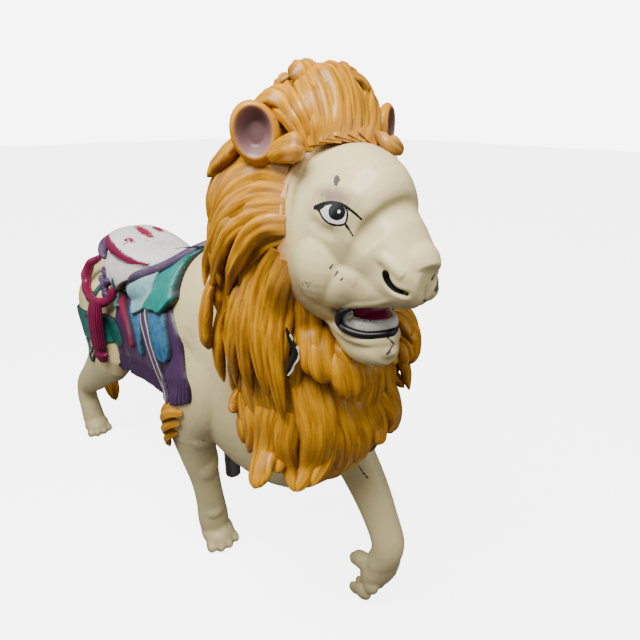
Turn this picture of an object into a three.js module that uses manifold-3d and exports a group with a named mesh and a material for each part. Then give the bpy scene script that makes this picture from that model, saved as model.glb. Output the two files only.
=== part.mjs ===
// A carousel lion, moulded in one piece: a striding lion with a full mane, a saddle and its trappings.
// Millimetres, +Z up. The carving is drawn with x from tail to nose, y to the lion's left and z up from
// the floor, and is then set over the origin by the middle of its length and width.
import * as THREE from "three";
import { mergeVertices } from "three/addons/utils/BufferGeometryUtils.js";
import Module from "manifold-3d";

const wasm = await Module();
wasm.setup();

// Driving sizes
const STATURE = 1336; // floor to the top of the crest
const DRAWN_STATURE = 1336; // the stature at which the tables of stations below are drawn
const RELIEF = 10; // how far the saddle cloth stands off the flank
const STRAP_RELIEF = 17; // how far straps and tassels stand off the flank
const LOCK_THICKNESS = 30; // half of a lock of the mane, through its middle
const LOCK_WIDTH = 36; // half of a lock of the mane, across its widest place
const LOCK_SINK = 4; // how deep a lock's root is let into the mane's core
const TUBE_RADIUS = 24; // the steel tube under the belly, which takes the carousel's pole
const TUBE_WALL = 4;
const TUBE_REACH = 230; // how far the tube stands out of the belly
const TUBE_DEPTH = 120; // how far it is let into the body
const FIT_GAP = 0.3; // clearance between the tube and its hole

// Colours of the paint
const CREAM = 0xd9cdae;
const STEEL = 0x7d7f80;

const AXIS = { x: new THREE.Vector3(1, 0, 0), y: new THREE.Vector3(0, 1, 0), z: new THREE.Vector3(0, 0, 1) };
const RIGHT = -1;
const LEFT = 1;
const drawn = STATURE / DRAWN_STATURE;
const rad = THREE.MathUtils.degToRad;
const lerp = THREE.MathUtils.lerp;

const point = (x, y, z) => new THREE.Vector3(x, y, z).multiplyScalar(drawn);

// Closed skins and solids

// A closed geometry through loops of points, each turning anticlockwise about the way to the next loop.
function skin(loops) {
  const sides = loops[0].length;
  const middle = (loop) => loop.reduce((sum, p) => sum.add(p), new THREE.Vector3()).divideScalar(sides);
  const points = [...loops.flat(), middle(loops[0]), middle(loops[loops.length - 1])];
  const start = loops.length * sides;
  const last = start - sides;
  const faces = [];
  for (let j = 0; j < sides; j++) {
    const next = (j + 1) % sides;
    faces.push(start, next, j, start + 1, last + j, last + next);
    for (let i = 0; i < last; i += sides) {
      faces.push(i + j, i + next, i + sides + next, i + j, i + sides + next, i + sides + j);
    }
  }
  return new THREE.BufferGeometry()
    .setAttribute("position", new THREE.Float32BufferAttribute(points.flatMap((p) => p.toArray()), 3))
    .setIndex(faces);
}

function solid(geometry) {
  return new wasm.Manifold(
    new wasm.Mesh({
      numProp: 3,
      vertProperties: new Float32Array(geometry.getAttribute("position").array),
      triVerts: new Uint32Array(geometry.index.array),
    }),
  );
}

const joined = (solids) => solids.reduce((whole, next) => whole.add(next));

// The moulding has no pockets inside: where locks close one in between them, it is filled. A sliver
// under a cubic millimetre, left where two facets nearly meet, is no part of it either.
const SLIVER = 1;
const filled = (whole) => joined(whole.decompose().filter((body) => body.volume() > SLIVER));

// Corners that fall this close together, where facets cross, are made one corner, until none is left.
const NEAR = 1e-3;
function tidied(geometry) {
  const PASSES = 4;
  let tidy = geometry;
  for (let i = 0; i < PASSES; i++) tidy = geometryOf(filled(solid(mergeVertices(tidy, NEAR))));
  return mergeVertices(tidy, NEAR);
}

function geometryOf(manifold) {
  const { vertProperties, triVerts, numProp } = manifold.getMesh();
  return new THREE.BufferGeometry()
    .setAttribute("position", new THREE.BufferAttribute(new Float32Array(vertProperties), numProp))
    .setIndex(new THREE.BufferAttribute(new Uint32Array(triVerts), 1));
}

// A limb: rings set square to a smooth path through stations of [x, y, z, half across, half deep].
function limb(stations, { rings, sides, across = AXIS.y, turn = 0 }) {
  const path = new THREE.CatmullRomCurve3(stations.map(([x, y, z]) => point(x, y, z)));
  const girth = new THREE.CatmullRomCurve3(stations.map(([, , , wide, deep]) => point(wide, deep, 0)));
  const loops = [];
  for (let i = 0; i <= rings; i++) {
    const centre = path.getPoint(i / rings);
    const along = path.getTangent(i / rings);
    const size = girth.getPoint(i / rings);
    const side = across.clone().addScaledVector(along, -across.dot(along)).normalize();
    const face = new THREE.Vector3().crossVectors(along, side);
    loops.push(ring(centre, side, face, size.x, size.y, sides, turn));
  }
  return solid(skin(loops));
}

function ring(centre, side, face, wide, deep, sides, turn = 0) {
  return Array.from({ length: sides }, (_, j) => {
    const a = (2 * Math.PI * (j + turn)) / sides;
    return centre
      .clone()
      .addScaledVector(side, wide * Math.cos(a))
      .addScaledVector(face, deep * Math.sin(a));
  });
}

// An egg: a round of triangles stretched to its three radii, in the world or in a given frame.
function ellipsoid(centre, radii, frame = new THREE.Matrix4(), detail = 1) {
  const geometry = new THREE.IcosahedronGeometry(1, detail);
  geometry.deleteAttribute("normal");
  geometry.deleteAttribute("uv");
  const round = mergeVertices(geometry, 1e-4);
  round.scale(...radii).translate(...centre).applyMatrix4(frame).scale(drawn, drawn, drawn);
  return solid(round);
}

// The torso: stations of [x, y, z, half width, half height], rump to chest.
const TORSO = [
  [-612, 0, 640, 30, 36],
  [-590, 0, 640, 80, 90],
  [-520, 0, 640, 122, 126],
  [-420, 0, 634, 142, 146],
  [-290, 0, 622, 146, 152],
  [-140, 0, 614, 146, 160],
  [0, 0, 616, 152, 178],
  [120, 0, 636, 160, 204],
  [230, 0, 660, 166, 248],
  [330, 0, 674, 170, 288],
  [430, 0, 664, 160, 328],
  [520, 0, 680, 126, 300],
  [575, 0, 730, 60, 150],
];
const TORSO_PATH = new THREE.CatmullRomCurve3(TORSO.map(([x, y, z]) => new THREE.Vector3(x, y, z)));
const TORSO_GIRTH = new THREE.CatmullRomCurve3(TORSO.map(([, , , wide, high]) => new THREE.Vector3(wide, high, 0)));
const HANG = 0.06; // the share of its width by which the flank draws in towards the belly

// A place on the flank, at x and height z: round above the middle, and nearly upright below it.
function onFlank(x, z, side, lift = 0) {
  const t = shareAlong(TORSO_PATH, "x", x);
  const centre = TORSO_PATH.getPoint(t);
  const size = TORSO_GIRTH.getPoint(t);
  const rise = THREE.MathUtils.clamp((z - centre.z) / size.y, -1, 1);
  const wide = rise > 0 ? Math.sqrt(1 - rise * rise) : 1 - HANG * rise * rise;
  return [x, side * (size.x * wide + lift), z];
}

// The share of a path at which one of its coordinates reaches a value.
function shareAlong(path, axis, value) {
  let [low, high] = [0, 1];
  for (let i = 0; i < 20; i++) {
    const t = (low + high) / 2;
    if (path.getPoint(t)[axis] < value) low = t;
    else high = t;
  }
  return low;
}

// A strap laid on the flank through places of [x, z, half width].
function strap(places, side, relief, across = AXIS.x) {
  const stations = places.map(([x, z, half]) => [
    ...onFlank(x, z, side),
    Math.SQRT2 * half,
    Math.SQRT2 * relief,
  ]);
  return limb(stations, { rings: places.length - 1, sides: 4, turn: 0.5, across });
}

// The saddle cloth of one flank: it hangs from the back to a fringed hem, and is solid to the belly.
function cloth(side) {
  const FLUTES = 5;
  const columns = 2 * FLUTES;
  const rows = 3;
  const TOP = [[-190, 730], [330, 850]];
  const HEM = [[-212, 446], [366, 560]];
  const fringe = 0.66;
  const bury = 60;
  const place = (column, v, outer) => {
    const u = column / columns;
    const edge = (end) => lerp(TOP[0][end], TOP[1][end], u) * (1 - v) + lerp(HEM[0][end], HEM[1][end], u) * v;
    const flute = v > fringe && column % 2 ? -0.6 * RELIEF : 0;
    const [x, y, z] = onFlank(edge(0), edge(1), side, RELIEF + flute);
    return point(x, outer ? y : side * bury, z);
  };
  const loops = [];
  for (let j = 0; j <= rows; j++) {
    const columnsOf = (outer) => Array.from({ length: columns + 1 }, (_, i) => place(i, j / rows, outer));
    const loop = [...columnsOf(true), ...columnsOf(false).reverse()];
    loops.push(side === LEFT ? loop : loop.reverse());
  }
  return solid(skin(loops));
}

// Legs and paws

// A paw flat on the floor: level outlines, each with four toes in front and a round heel.
function paw(x, y, { heading = 0, long = 76, wide = 62 }) {
  const LEVELS = [[0, 0.88], [14, 1], [34, 0.96], [54, 0.78], [72, 0.56]];
  const toes = 4;
  const gap = 0.82; // how far in, as a share, the valley between two toes lies
  const heel = 4;
  const fan = 84; // degrees from the heading to the outer toe's outer side
  const outline = [];
  for (let i = 0; i <= 2 * toes; i++) outline.push([lerp(-fan, fan, i / (2 * toes)), i % 2 ? 1 : gap]);
  for (let i = 1; i <= heel; i++) outline.push([lerp(fan, 360 - fan, i / (heel + 1)), 0.9]);
  return solid(
    skin(
      LEVELS.map(([z, size]) =>
        outline.map(([degrees, reach]) => {
          const a = rad(degrees);
          const ahead = long * size * reach * Math.cos(a) * (Math.cos(a) < 0 ? 0.8 : 1);
          const left = wide * size * (reach + (1 - reach) * Math.abs(Math.sin(a))) * Math.sin(a);
          const turn = rad(heading);
          return point(
            x + ahead * Math.cos(turn) - left * Math.sin(turn),
            y + ahead * Math.sin(turn) + left * Math.cos(turn),
            z,
          );
        }),
      ),
    ),
  );
}

const foreRight = () =>
  joined([
    limb(
      [
        [380, -90, 800, 46, 70],
        [366, -108, 700, 64, 120],
        [330, -120, 600, 68, 124],
        [282, -128, 500, 64, 100],
        [266, -128, 430, 58, 84],
        [264, -118, 340, 50, 62],
        [262, -104, 240, 42, 50],
        [260, -94, 150, 42, 47],
        [260, -90, 80, 46, 50],
        [262, -90, 30, 42, 46],
      ],
      { rings: 9, sides: 8 },
    ),
    paw(270, -88, { heading: -10, long: 86, wide: 64 }),
    ...elbowTufts(),
  ]);

// The fringe of hair down the back of the planted foreleg's elbow.
function elbowTufts() {
  const TUFTS = 3;
  return Array.from({ length: TUFTS }, (_, i) => {
    const down = 500 - 40 * i;
    const back = 200 - 4 * i;
    return limb(
      [
        [back + 50, -132, down + 26, 30, 12],
        [back + 12, -136, down + 6, 36, 20],
        [back - 4, -136, down - 22, 26, 15],
        [back + 2, -136, down - 44, 10, 6],
      ],
      { rings: 3, sides: 6 },
    );
  });
}

// The bent foreleg: its wrist is raised and its toes, curled under, touch the floor.
const foreLeft = () =>
  joined([
    limb(
      [
        [400, 80, 790, 46, 80],
        [430, 104, 690, 62, 118],
        [480, 118, 600, 62, 110],
        [560, 124, 520, 60, 88],
        [640, 124, 450, 53, 68],
        [712, 122, 372, 47, 56],
        [764, 118, 300, 42, 47],
        [790, 117, 246, 42, 44],
        [786, 116, 196, 40, 40],
        [770, 115, 160, 40, 36],
      ],
      { rings: 9, sides: 8 },
    ),
    hangingPaw(),
  ]);

// The bent paw: a back that drops from the wrist, four curled toes and the thumb's pad behind.
function hangingPaw() {
  const back = limb(
    [
      [788, 122, 206, 40, 36],
      [778, 128, 160, 48, 40],
      [760, 128, 112, 54, 42],
      [742, 126, 70, 48, 36],
    ],
    { rings: 3, sides: 10 },
  );
  const toes = [-0.74, -0.25, 0.25, 0.74].map((share) =>
    limb(
      [
        [774, 132 + 46 * share, 124, 14, 18],
        [760, 130 + 52 * share, 84, 18, 26],
        [732, 128 + 52 * share, 34, 17, 26],
        [704, 128 + 50 * share, 22, 11, 20],
      ],
      { rings: 3, sides: 6 },
    ),
  );
  const thumb = ellipsoid([716, 100, 132], [36, 24, 30]);
  return joined([back, ...toes, thumb]);
}

// A hind leg, its thigh set off from the flank, its hock behind and its paw flat on the floor.
function hindLeg({ side, out, hip, knee, hock, foot }) {
  const y = (share) => side * out * share;
  return joined([
    limb(
      [
        [hip - 30, y(0.44), 700, 44, 70],
        [hip, y(0.6), 640, 66, 124],
        [lerp(hip, knee, 0.6), y(0.7), 560, 70, 134],
        [knee, y(0.8), 480, 62, 112],
        [lerp(knee, hock, 0.26), y(0.86), 390, 52, 84],
        [lerp(knee, hock, 0.62), y(0.93), 295, 42, 62],
        [lerp(knee, hock, 0.92), y(0.97), 222, 37, 50],
        [hock, y(1), 160, 36, 46],
        [lerp(hock, foot, 0.25), y(1), 105, 38, 44],
        [lerp(hock, foot, 0.6), y(1), 50, 42, 44],
      ],
      { rings: 9, sides: 8 },
    ),
    paw(foot, y(1), { heading: -4 }),
  ]);
}

// The tail: it drops behind the rump and its tuft curls forward just above the floor.
const tail = () =>
  limb(
    [
      [-560, 0, 690, 30, 30],
      [-622, 0, 664, 27, 28],
      [-672, -6, 580, 22, 23],
      [-694, -18, 470, 19, 20],
      [-702, -30, 350, 18, 19],
      [-696, -40, 240, 22, 24],
      [-678, -44, 160, 34, 38],
      [-660, -44, 96, 36, 40],
      [-646, -44, 48, 14, 16],
    ],
    { rings: 9, sides: 7 },
  );

// The head, drawn in its own frame: x along the muzzle, y to its left, z up.
const HEAD = new THREE.Object3D();
HEAD.position.set(734, -36, 1120);
HEAD.rotation.z = rad(-10);
HEAD.updateMatrixWorld();
const FACE_SIDE = AXIS.y.clone().transformDirection(HEAD.matrixWorld);

const onHead = (x, y, z) => new THREE.Vector3(x, y, z).applyMatrix4(HEAD.matrixWorld);

function headLimb(stations, { rings, sides }) {
  const set = stations.map(([x, y, z, wide, deep]) => [...onHead(x, y, z).toArray(), wide, deep]);
  return limb(set, { rings, sides, across: FACE_SIDE });
}

const headEgg = (centre, radii, detail) => ellipsoid(centre, radii, HEAD.matrixWorld, detail);

// Skull and upper jaw: stations of [x, y, z, half width, half height], nape to nose.
const SKULL = [
  [-100, 0, -10, 84, 92],
  [-40, 0, -40, 122, 138],
  [20, 0, -52, 134, 156],
  [56, 0, -50, 124, 150],
  [92, 0, -42, 96, 124],
  [128, 0, -58, 74, 92],
  [166, 0, -68, 64, 78],
  [196, 0, -74, 58, 62],
  [214, 0, -78, 46, 46],
  [224, 0, -78, 26, 26],
];

const JAW = [
  [0, 0, -176, 86, 64],
  [40, 0, -206, 74, 52],
  [82, 0, -222, 62, 42],
  [116, 0, -218, 52, 40],
  [140, 0, -207, 38, 30],
  [150, 0, -201, 18, 14],
];

// The open mouth: the upper jaw is cut back over the tongue.
const mouth = () => headEgg([116, 0, -160], [64, 50, 24]);
const tongue = () => headEgg([100, 0, -180], [46, 26, 12]);
const nose = () =>
  headLimb([[140, 0, -26, 26, 14], [184, 0, -36, 34, 22], [216, 0, -56, 34, 26], [230, 0, -64, 20, 14]], {
    rings: 3,
    sides: 8,
  });
const whiskerPad = (side) => headEgg([164, side * 24, -98], [46, 36, 36]);
const eyeball = (side) => headEgg([92, side * 78, 8], [24, 18, 18]);

const brow = (side) =>
  headLimb(
    [
      [54, side * 98, 24, 12, 10],
      [84, side * 84, 42, 18, 13],
      [108, side * 60, 44, 18, 13],
      [120, side * 38, 32, 10, 8],
    ],
    { rings: 3, sides: 6 },
  );

const nostril = (side) =>
  headLimb(
    [
      [184, side * 42, -62, 14, 5],
      [200, side * 38, -76, 14, 6],
      [218, side * 24, -84, 14, 5],
    ],
    { rings: 3, sides: 6 },
  );

// An ear: a shell that turns outwards and leans a little, with a bowl sunk in its front.
function ear(side) {
  const frame = new THREE.Object3D();
  frame.position.set(-42, side * 132, 108);
  frame.rotation.set(rad(side * -20), 0, rad(side * 38), "ZYX");
  HEAD.add(frame);
  HEAD.updateMatrixWorld();
  return {
    root: headEgg([-66, side * 104, 84], [44, 38, 52]),
    shell: ellipsoid([0, 0, 0], [22, 40, 48], frame.matrixWorld, 1),
    bowl: ellipsoid([20, 0, 2], [22, 29, 36], frame.matrixWorld, 1),
  };
}

// The mane's core: level sections of [x, y, z, half width, half length], hem to crown.
const MANE = [
  [618, 6, 446, 30, 30],
  [618, 10, 478, 80, 74],
  [622, 26, 550, 138, 126],
  [620, 28, 650, 168, 154],
  [618, 28, 750, 178, 162],
  [614, 20, 850, 178, 160],
  [598, 0, 950, 164, 146],
  [602, -16, 1050, 154, 136],
  [622, -24, 1140, 138, 122],
  [656, -18, 1210, 104, 92],
  [680, -14, 1262, 78, 70],
  [684, -14, 1292, 38, 36],
];
const MANE_PATH = new THREE.CatmullRomCurve3(MANE.map(([x, y, z]) => new THREE.Vector3(x, y, z)));
const MANE_GIRTH = new THREE.CatmullRomCurve3(MANE.map(([, , , wide, long]) => new THREE.Vector3(wide, long, 0)));

// A place on the mane's core: degrees from straight ahead, positive to the left, and height.
function onMane(degrees, height, lift) {
  const t = shareAlong(MANE_PATH, "z", height);
  const centre = MANE_PATH.getPoint(t);
  const size = MANE_GIRTH.getPoint(t);
  const a = rad(degrees);
  const out = new THREE.Vector3((size.y + lift) * Math.cos(a), (size.x + lift) * Math.sin(a), 0);
  return centre.setZ(height).add(out);
}

// A lock of hair through points on the mane, flat against the hair below it and pointed at its tip.
function lock(points, away, wide = LOCK_WIDTH, thick = LOCK_THICKNESS) {
  const SHAPE = [[0.45, 0.5], [0.9, 0.9], [1, 1], [0.12, 0.3]];
  const rings = 3;
  const sides = 4;
  const path = new THREE.CatmullRomCurve3(points.map((p) => p.clone().multiplyScalar(drawn)));
  const shape = new THREE.CatmullRomCurve3(SHAPE.map(([w, t]) => point(w * wide, t * thick, 0)));
  const loops = [];
  for (let i = 0; i <= rings; i++) {
    const centre = path.getPoint(i / rings);
    const along = path.getTangent(i / rings);
    const out = centre.clone().sub(away).normalize();
    const side = new THREE.Vector3().crossVectors(out, along).normalize();
    const size = shape.getPoint(i / rings);
    loops.push(ring(centre, side, new THREE.Vector3().crossVectors(along, side), size.x, size.y, sides));
  }
  return solid(skin(loops));
}

// A lock that leaves its root sideways and then turns down, between places of [degrees, height].
function fallingLock([rootTurn, rootHeight], [tipTurn, tipHeight], wide, flare = 12) {
  const steps = 5;
  const points = Array.from({ length: steps }, (_, i) => {
    const s = i / (steps - 1);
    const degrees = lerp(rootTurn, tipTurn, 1 - (1 - s) ** 2);
    const lift = (LOCK_SINK + flare) * Math.sin((Math.PI / 2) * s) - LOCK_SINK;
    return onMane(degrees, lerp(rootHeight, tipHeight, s ** 1.5), lift);
  });
  const core = MANE_PATH.getPoint(shareAlong(MANE_PATH, "z", points[2].z));
  return lock(points, core, wide);
}

function maneLocks() {
  const locks = [];
  const pairs = (count, rootOf, tipOf, wide, flare) => {
    for (const side of [RIGHT, LEFT]) {
      for (let i = 0; i < count; i++) {
        const [root, tip] = [rootOf(i), tipOf(i)];
        locks.push(fallingLock([side * root[0], root[1]], [side * tip[0], tip[1]], wide, flare));
      }
    }
  };
  const row = (count, turn, gap, root, tip, flare) => {
    for (let i = 0; i < count; i++) {
      const a = turn + gap * (i - (count - 1) / 2);
      const drop = 26 * (i % 2);
      locks.push(fallingLock([a, root], [a, tip - drop], 1.1 * gap, flare));
    }
  };
  // behind the ears, beside the face, behind that, and down the neck
  pairs(1, () => [104, 1215], () => [128, 1085], LOCK_WIDTH, 22);
  pairs(5, (i) => [40 + 4 * i, 1150 - 64 * i], (i) => [96 - 9 * i, 960 - 94 * i], 1.15 * LOCK_WIDTH, 18);
  pairs(2, (i) => [92 - 2 * i, 1120 - 170 * i], (i) => [130 - 10 * i, 850 - 190 * i], 1.5 * LOCK_WIDTH, 16);
  pairs(1, () => [146, 1160], () => [156, 860], 1.5 * LOCK_WIDTH);
  // beard, chest and hem, each row over the next one down
  row(3, -4, 26, 890, 712, 30);
  row(5, 2, 32, 800, 560, 26);
  row(4, 2, 36, 640, 436, 20);
  return locks;
}

// The crest: rows of locks that rise from the brow and turn back over the crown.
function crestLocks() {
  const ROWS = [
    { count: 5, spread: 130, places: [[50, 88], [40, 128], [4, 160], [-58, 172]] },
    { count: 4, spread: 150, places: [[-20, 110], [-44, 172], [-84, 190], [-136, 150]] },
    { count: 3, spread: 150, places: [[-84, 110], [-114, 134], [-138, 96], [-150, 20]] },
  ];
  const FAN = [0.8, 0.96, 1.08, 1.16];
  const away = onHead(-40, 0, 0).multiplyScalar(drawn);
  return ROWS.flatMap(({ count, spread, places }) =>
    Array.from({ length: count }, (_, i) => {
      const across = i / (count - 1) - 0.5;
      const drop = 100 * across * across;
      const points = places.map(([x, z], k) => onHead(x - drop, across * spread * FAN[k], z - drop));
      return lock(points, away, 0.8 * LOCK_WIDTH);
    }),
  );
}

// Saddle and trappings

// The saddle: a tree that climbs to the withers, a dished seat, and a roll round each end.
function saddle() {
  const tree = limb(
    [
      [-330, 0, 770, 80, 60],
      [-240, 0, 778, 116, 72],
      [-110, 0, 774, 122, 70],
      [20, 0, 786, 118, 82],
      [130, 0, 812, 104, 88],
      [230, 0, 850, 78, 88],
      [300, 0, 890, 36, 56],
    ],
    { rings: 5, sides: 10 },
  );
  const seat = limb(
    [
      [-316, 0, 852, 50, 24],
      [-276, 0, 860, 94, 44],
      [-200, 0, 854, 110, 42],
      [-100, 0, 844, 106, 37],
      [0, 0, 842, 84, 31],
      [64, 0, 848, 42, 20],
    ],
    { rings: 5, sides: 10 },
  );
  const cantle = rolled([[-216, 120, 796], [-292, 98, 856], [-330, 0, 890]], 20);
  const pommel = rolled([[-24, 126, 806], [130, 98, 866], [292, 0, 962]], 14);
  return [tree, seat, cantle, pommel];
}

// A roll that goes over the back from the right side to the left, through points given for the left.
function rolled(half, radius) {
  const right = half.map(([x, y, z]) => [x, -y, z]);
  const left = half.slice(0, -1).reverse();
  const stations = [...right, ...left].map((p, i, all) => {
    const size = radius * (i === 0 || i === all.length - 1 ? 0.7 : 1);
    return [...p, size, size];
  });
  return limb(stations, { rings: 8, sides: 5, across: AXIS.x });
}

// Two petals of folded cloth that fan out from the pommel down the flank.
function petals(side) {
  const pale = [
    [150, 66, 876, 14, 9],
    [118, 104, 846, 34, 11],
    [98, 126, 800, 50, 12],
    [90, 140, 764, 40, 12],
    [92, 144, 744, 20, 8],
  ];
  const bright = [
    [272, 36, 946, 14, 12],
    [262, 76, 906, 32, 14],
    [250, 118, 862, 48, 15],
    [242, 144, 815, 44, 14],
    [240, 152, 786, 22, 10],
  ];
  return [pale, bright].map((stations) => {
    const set = stations.map(([x, y, z, wide, thick]) => [x, side * y, z, wide, thick]);
    return limb(set, { rings: 3, sides: 6, across: AXIS.x });
  });
}

// What hangs down the flank: the girth, a panel on each side of it and the breeching band.
function trappings(side) {
  const girth = [[60, 786, 20], [150, 692, 20], [206, 596, 20], [234, 476, 18]];
  const front = [[224, 800, 26], [250, 740, 31], [276, 672, 28]];
  const rear = [[50, 776, 22], [54, 700, 24], [58, 626, 20]];
  const band = [[-180, 580, 52], [-300, 566, 52], [-430, 526, 50], [-540, 500, 44]];
  const panels = side === RIGHT ? [strap(front, side, STRAP_RELIEF - 1), strap(rear, side, STRAP_RELIEF - 2)] : [];
  return [strap(girth, side, STRAP_RELIEF), strap(band, side, 12, AXIS.z), ...panels];
}

// The show side alone carries a ribbon, a rolled drape behind the saddle, its rosette and its tassel.
function showSide() {
  const ribbon = [[8, 796, 12], [12, 730, 13], [2, 660, 15], [-6, 600, 9]];
  const tassel = [[-216, 704, 22], [-222, 620, 30], [-232, 540, 30], [-238, 490, 20]];
  const drape = limb(
    [
      [-368, -66, 770, 18, 18],
      [-396, -112, 740, 22, 22],
      [-360, -146, 692, 24, 24],
      [-270, -158, 678, 26, 25],
      [-170, -156, 706, 24, 24],
      [-110, -140, 762, 18, 18],
    ],
    { rings: 6, sides: 6, across: AXIS.z },
  );
  return [
    strap(ribbon, RIGHT, STRAP_RELIEF),
    strap(tassel, RIGHT, 28),
    drape,
    ellipsoid([-160, -138, 740], [40, 22, 42]),
  ];
}

// The steel tube, and the hole that it is let into

const TUBE_X = 250;
const BELLY = 422;
const TUBE_LOW = BELLY * drawn - TUBE_REACH;
const TUBE_TOP = BELLY * drawn + TUBE_DEPTH;

function turned(profile) {
  const geometry = new THREE.LatheGeometry(profile.map(([r, z]) => new THREE.Vector2(r, z)), 24);
  geometry.rotateX(rad(90)).translate(TUBE_X * drawn, 0, 0);
  geometry.deleteAttribute("normal");
  geometry.deleteAttribute("uv");
  return mergeVertices(geometry, 1e-4);
}

const tubeGeometry = () => {
  const bore = TUBE_RADIUS - TUBE_WALL;
  const [low, top] = [TUBE_LOW, TUBE_TOP];
  return turned([[bore, low], [TUBE_RADIUS, low], [TUBE_RADIUS, top], [bore, top], [bore, low]]);
};

const tubeHole = () => {
  const hole = TUBE_RADIUS + FIT_GAP;
  const [low, top] = [TUBE_LOW, TUBE_TOP + FIT_GAP];
  return solid(turned([[0, low], [hole, low], [hole, top], [0, top]]));
};

// What lies below the floor, cut away to leave flat soles.
const belowFloor = () =>
  solid(
    skin(
      [-1200, 1200].map((x) =>
        [[-600, -100], [600, -100], [600, 0], [-600, 0]].map(([y, z]) => point(x, y, z)),
      ),
    ),
  );

// The figure

const ears = [RIGHT, LEFT].map(ear);
const sides = [RIGHT, LEFT];

const head = joined([
  headLimb(SKULL, { rings: 9, sides: 12 }).subtract(mouth()),
  headLimb(JAW, { rings: 4, sides: 8 }).subtract(mouth()),
  tongue(),
  nose(),
  ...sides.flatMap((side) => [brow(side), eyeball(side), whiskerPad(side)]),
]).subtract(joined(sides.map(nostril)));

const figure = joined([
  limb(TORSO, { rings: 11, sides: 12 }),
  ...sides.map(cloth),
  foreRight(),
  foreLeft(),
  hindLeg({ side: RIGHT, out: 164, hip: -430, knee: -290, hock: -604, foot: -562 }),
  hindLeg({ side: LEFT, out: 152, hip: -400, knee: -232, hock: -488, foot: -444 }),
  tail(),
  limb(MANE, { rings: 9, sides: 10 }),
  head,
  ...ears.flatMap((e) => [e.root, e.shell]),
  ...maneLocks(),
  ...crestLocks(),
  ...saddle(),
  ...sides.flatMap(petals),
  ...sides.flatMap(trappings),
  ...showSide(),
]).subtract(joined([tubeHole(), belowFloor(), ...ears.map((e) => e.bowl)]));

// The figure stands over the origin by the middle of its length and width.
const whole = geometryOf(figure);
whole.computeBoundingBox();
const middle = whole.boundingBox.getCenter(new THREE.Vector3());

const lion = new THREE.Mesh(
  tidied(whole.translate(-middle.x, -middle.y, 0)),
  new THREE.MeshStandardMaterial({ color: CREAM, roughness: 0.35, metalness: 0 }),
);
lion.name = "lion";

const tube = new THREE.Mesh(
  tubeGeometry().translate(-middle.x, -middle.y, 0),
  new THREE.MeshStandardMaterial({ color: STEEL, roughness: 0.5, metalness: 1 }),
);
tube.name = "pole_tube";

const group = new THREE.Group();
group.add(lion, tube);

export default group;
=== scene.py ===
"""A carousel lion: a glass-fibre moulding under thick gloss paint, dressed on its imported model.

Forms are drawn in millimetres in the carver's own frame, x from tail to nose, y to the lion's left and
z up from the floor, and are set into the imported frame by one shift.
"""

import logging
import math
from dataclasses import dataclass, field
from enum import Enum

import bpy
import numpy as np
from mathutils import Matrix, Vector
from mathutils.bvhtree import BVHTree


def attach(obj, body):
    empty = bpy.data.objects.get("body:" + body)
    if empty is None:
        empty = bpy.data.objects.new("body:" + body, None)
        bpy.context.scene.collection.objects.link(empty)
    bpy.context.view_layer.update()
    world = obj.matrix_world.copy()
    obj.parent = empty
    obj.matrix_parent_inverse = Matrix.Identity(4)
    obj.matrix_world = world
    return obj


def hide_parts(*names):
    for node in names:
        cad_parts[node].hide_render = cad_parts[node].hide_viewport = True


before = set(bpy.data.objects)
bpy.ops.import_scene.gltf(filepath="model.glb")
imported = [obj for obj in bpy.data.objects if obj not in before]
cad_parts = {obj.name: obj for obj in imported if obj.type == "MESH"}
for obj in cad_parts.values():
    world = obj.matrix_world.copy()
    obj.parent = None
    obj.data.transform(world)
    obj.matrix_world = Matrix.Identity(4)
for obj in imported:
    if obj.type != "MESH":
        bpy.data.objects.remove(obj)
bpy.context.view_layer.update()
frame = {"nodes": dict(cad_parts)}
log = logging.getLogger("carousel_lion")

MM = 0.001
DRAWN_TO_PACKED = np.array([-123.4, -3.2, 0.0])
RIGHT, LEFT = -1, 1

Array = np.ndarray
Rows = list[tuple[float, ...]]


class Axis(Enum):
    """The direction in which a loft's width is measured."""

    X = (1.0, 0.0, 0.0)
    Y = (0.0, 1.0, 0.0)
    Z = (0.0, 0.0, 1.0)


# Colours and nodes


def srgb(colour: str) -> tuple[float, float, float, float]:
    """Turns an sRGB hex colour to the linear values that a shader takes.

    Args:
        colour: six hex digits.

    Returns:
        Linear red, green and blue, and an alpha of one.
    """
    parts = [int(colour[i : i + 2], 16) / 255 for i in (0, 2, 4)]
    linear = [c / 12.92 if c <= 0.04045 else ((c + 0.055) / 1.055) ** 2.4 for c in parts]
    return (*linear, 1.0)


class Graph:
    """The node tree of a material or a world, grown one node at a time."""

    def __init__(self, name: str, world: bool = False) -> None:
        """Starts a material of that name, or a world, with an empty tree."""
        self.material = (bpy.data.worlds if world else bpy.data.materials).new(name)
        self.material.use_nodes = True
        self.tree = self.material.node_tree
        self.tree.nodes.clear()

    def add(self, kind: str, settings: dict | None = None, inputs: dict | None = None) -> bpy.types.Node:
        """Adds one node.

        Args:
            kind: the node's type, without its ShaderNode prefix.
            settings: the node's own properties.
            inputs: for each input, by name or number, a value or the socket that feeds it.

        Returns:
            The new node.
        """
        node = self.tree.nodes.new("ShaderNode" + kind)
        for key, value in (settings or {}).items():
            setattr(node, key, value)
        for key, value in (inputs or {}).items():
            if isinstance(value, bpy.types.NodeSocket):
                self.tree.links.new(value, node.inputs[key])
            else:
                node.inputs[key].default_value = value
        return node


# Lofts and meshes


@dataclass
class Shell:
    """A closed mesh in the drawn frame, in millimetres.

    Attributes:
        points: its corners.
        faces: the corners of each face, by number.
    """

    points: Array
    faces: list[tuple[int, ...]]


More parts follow.
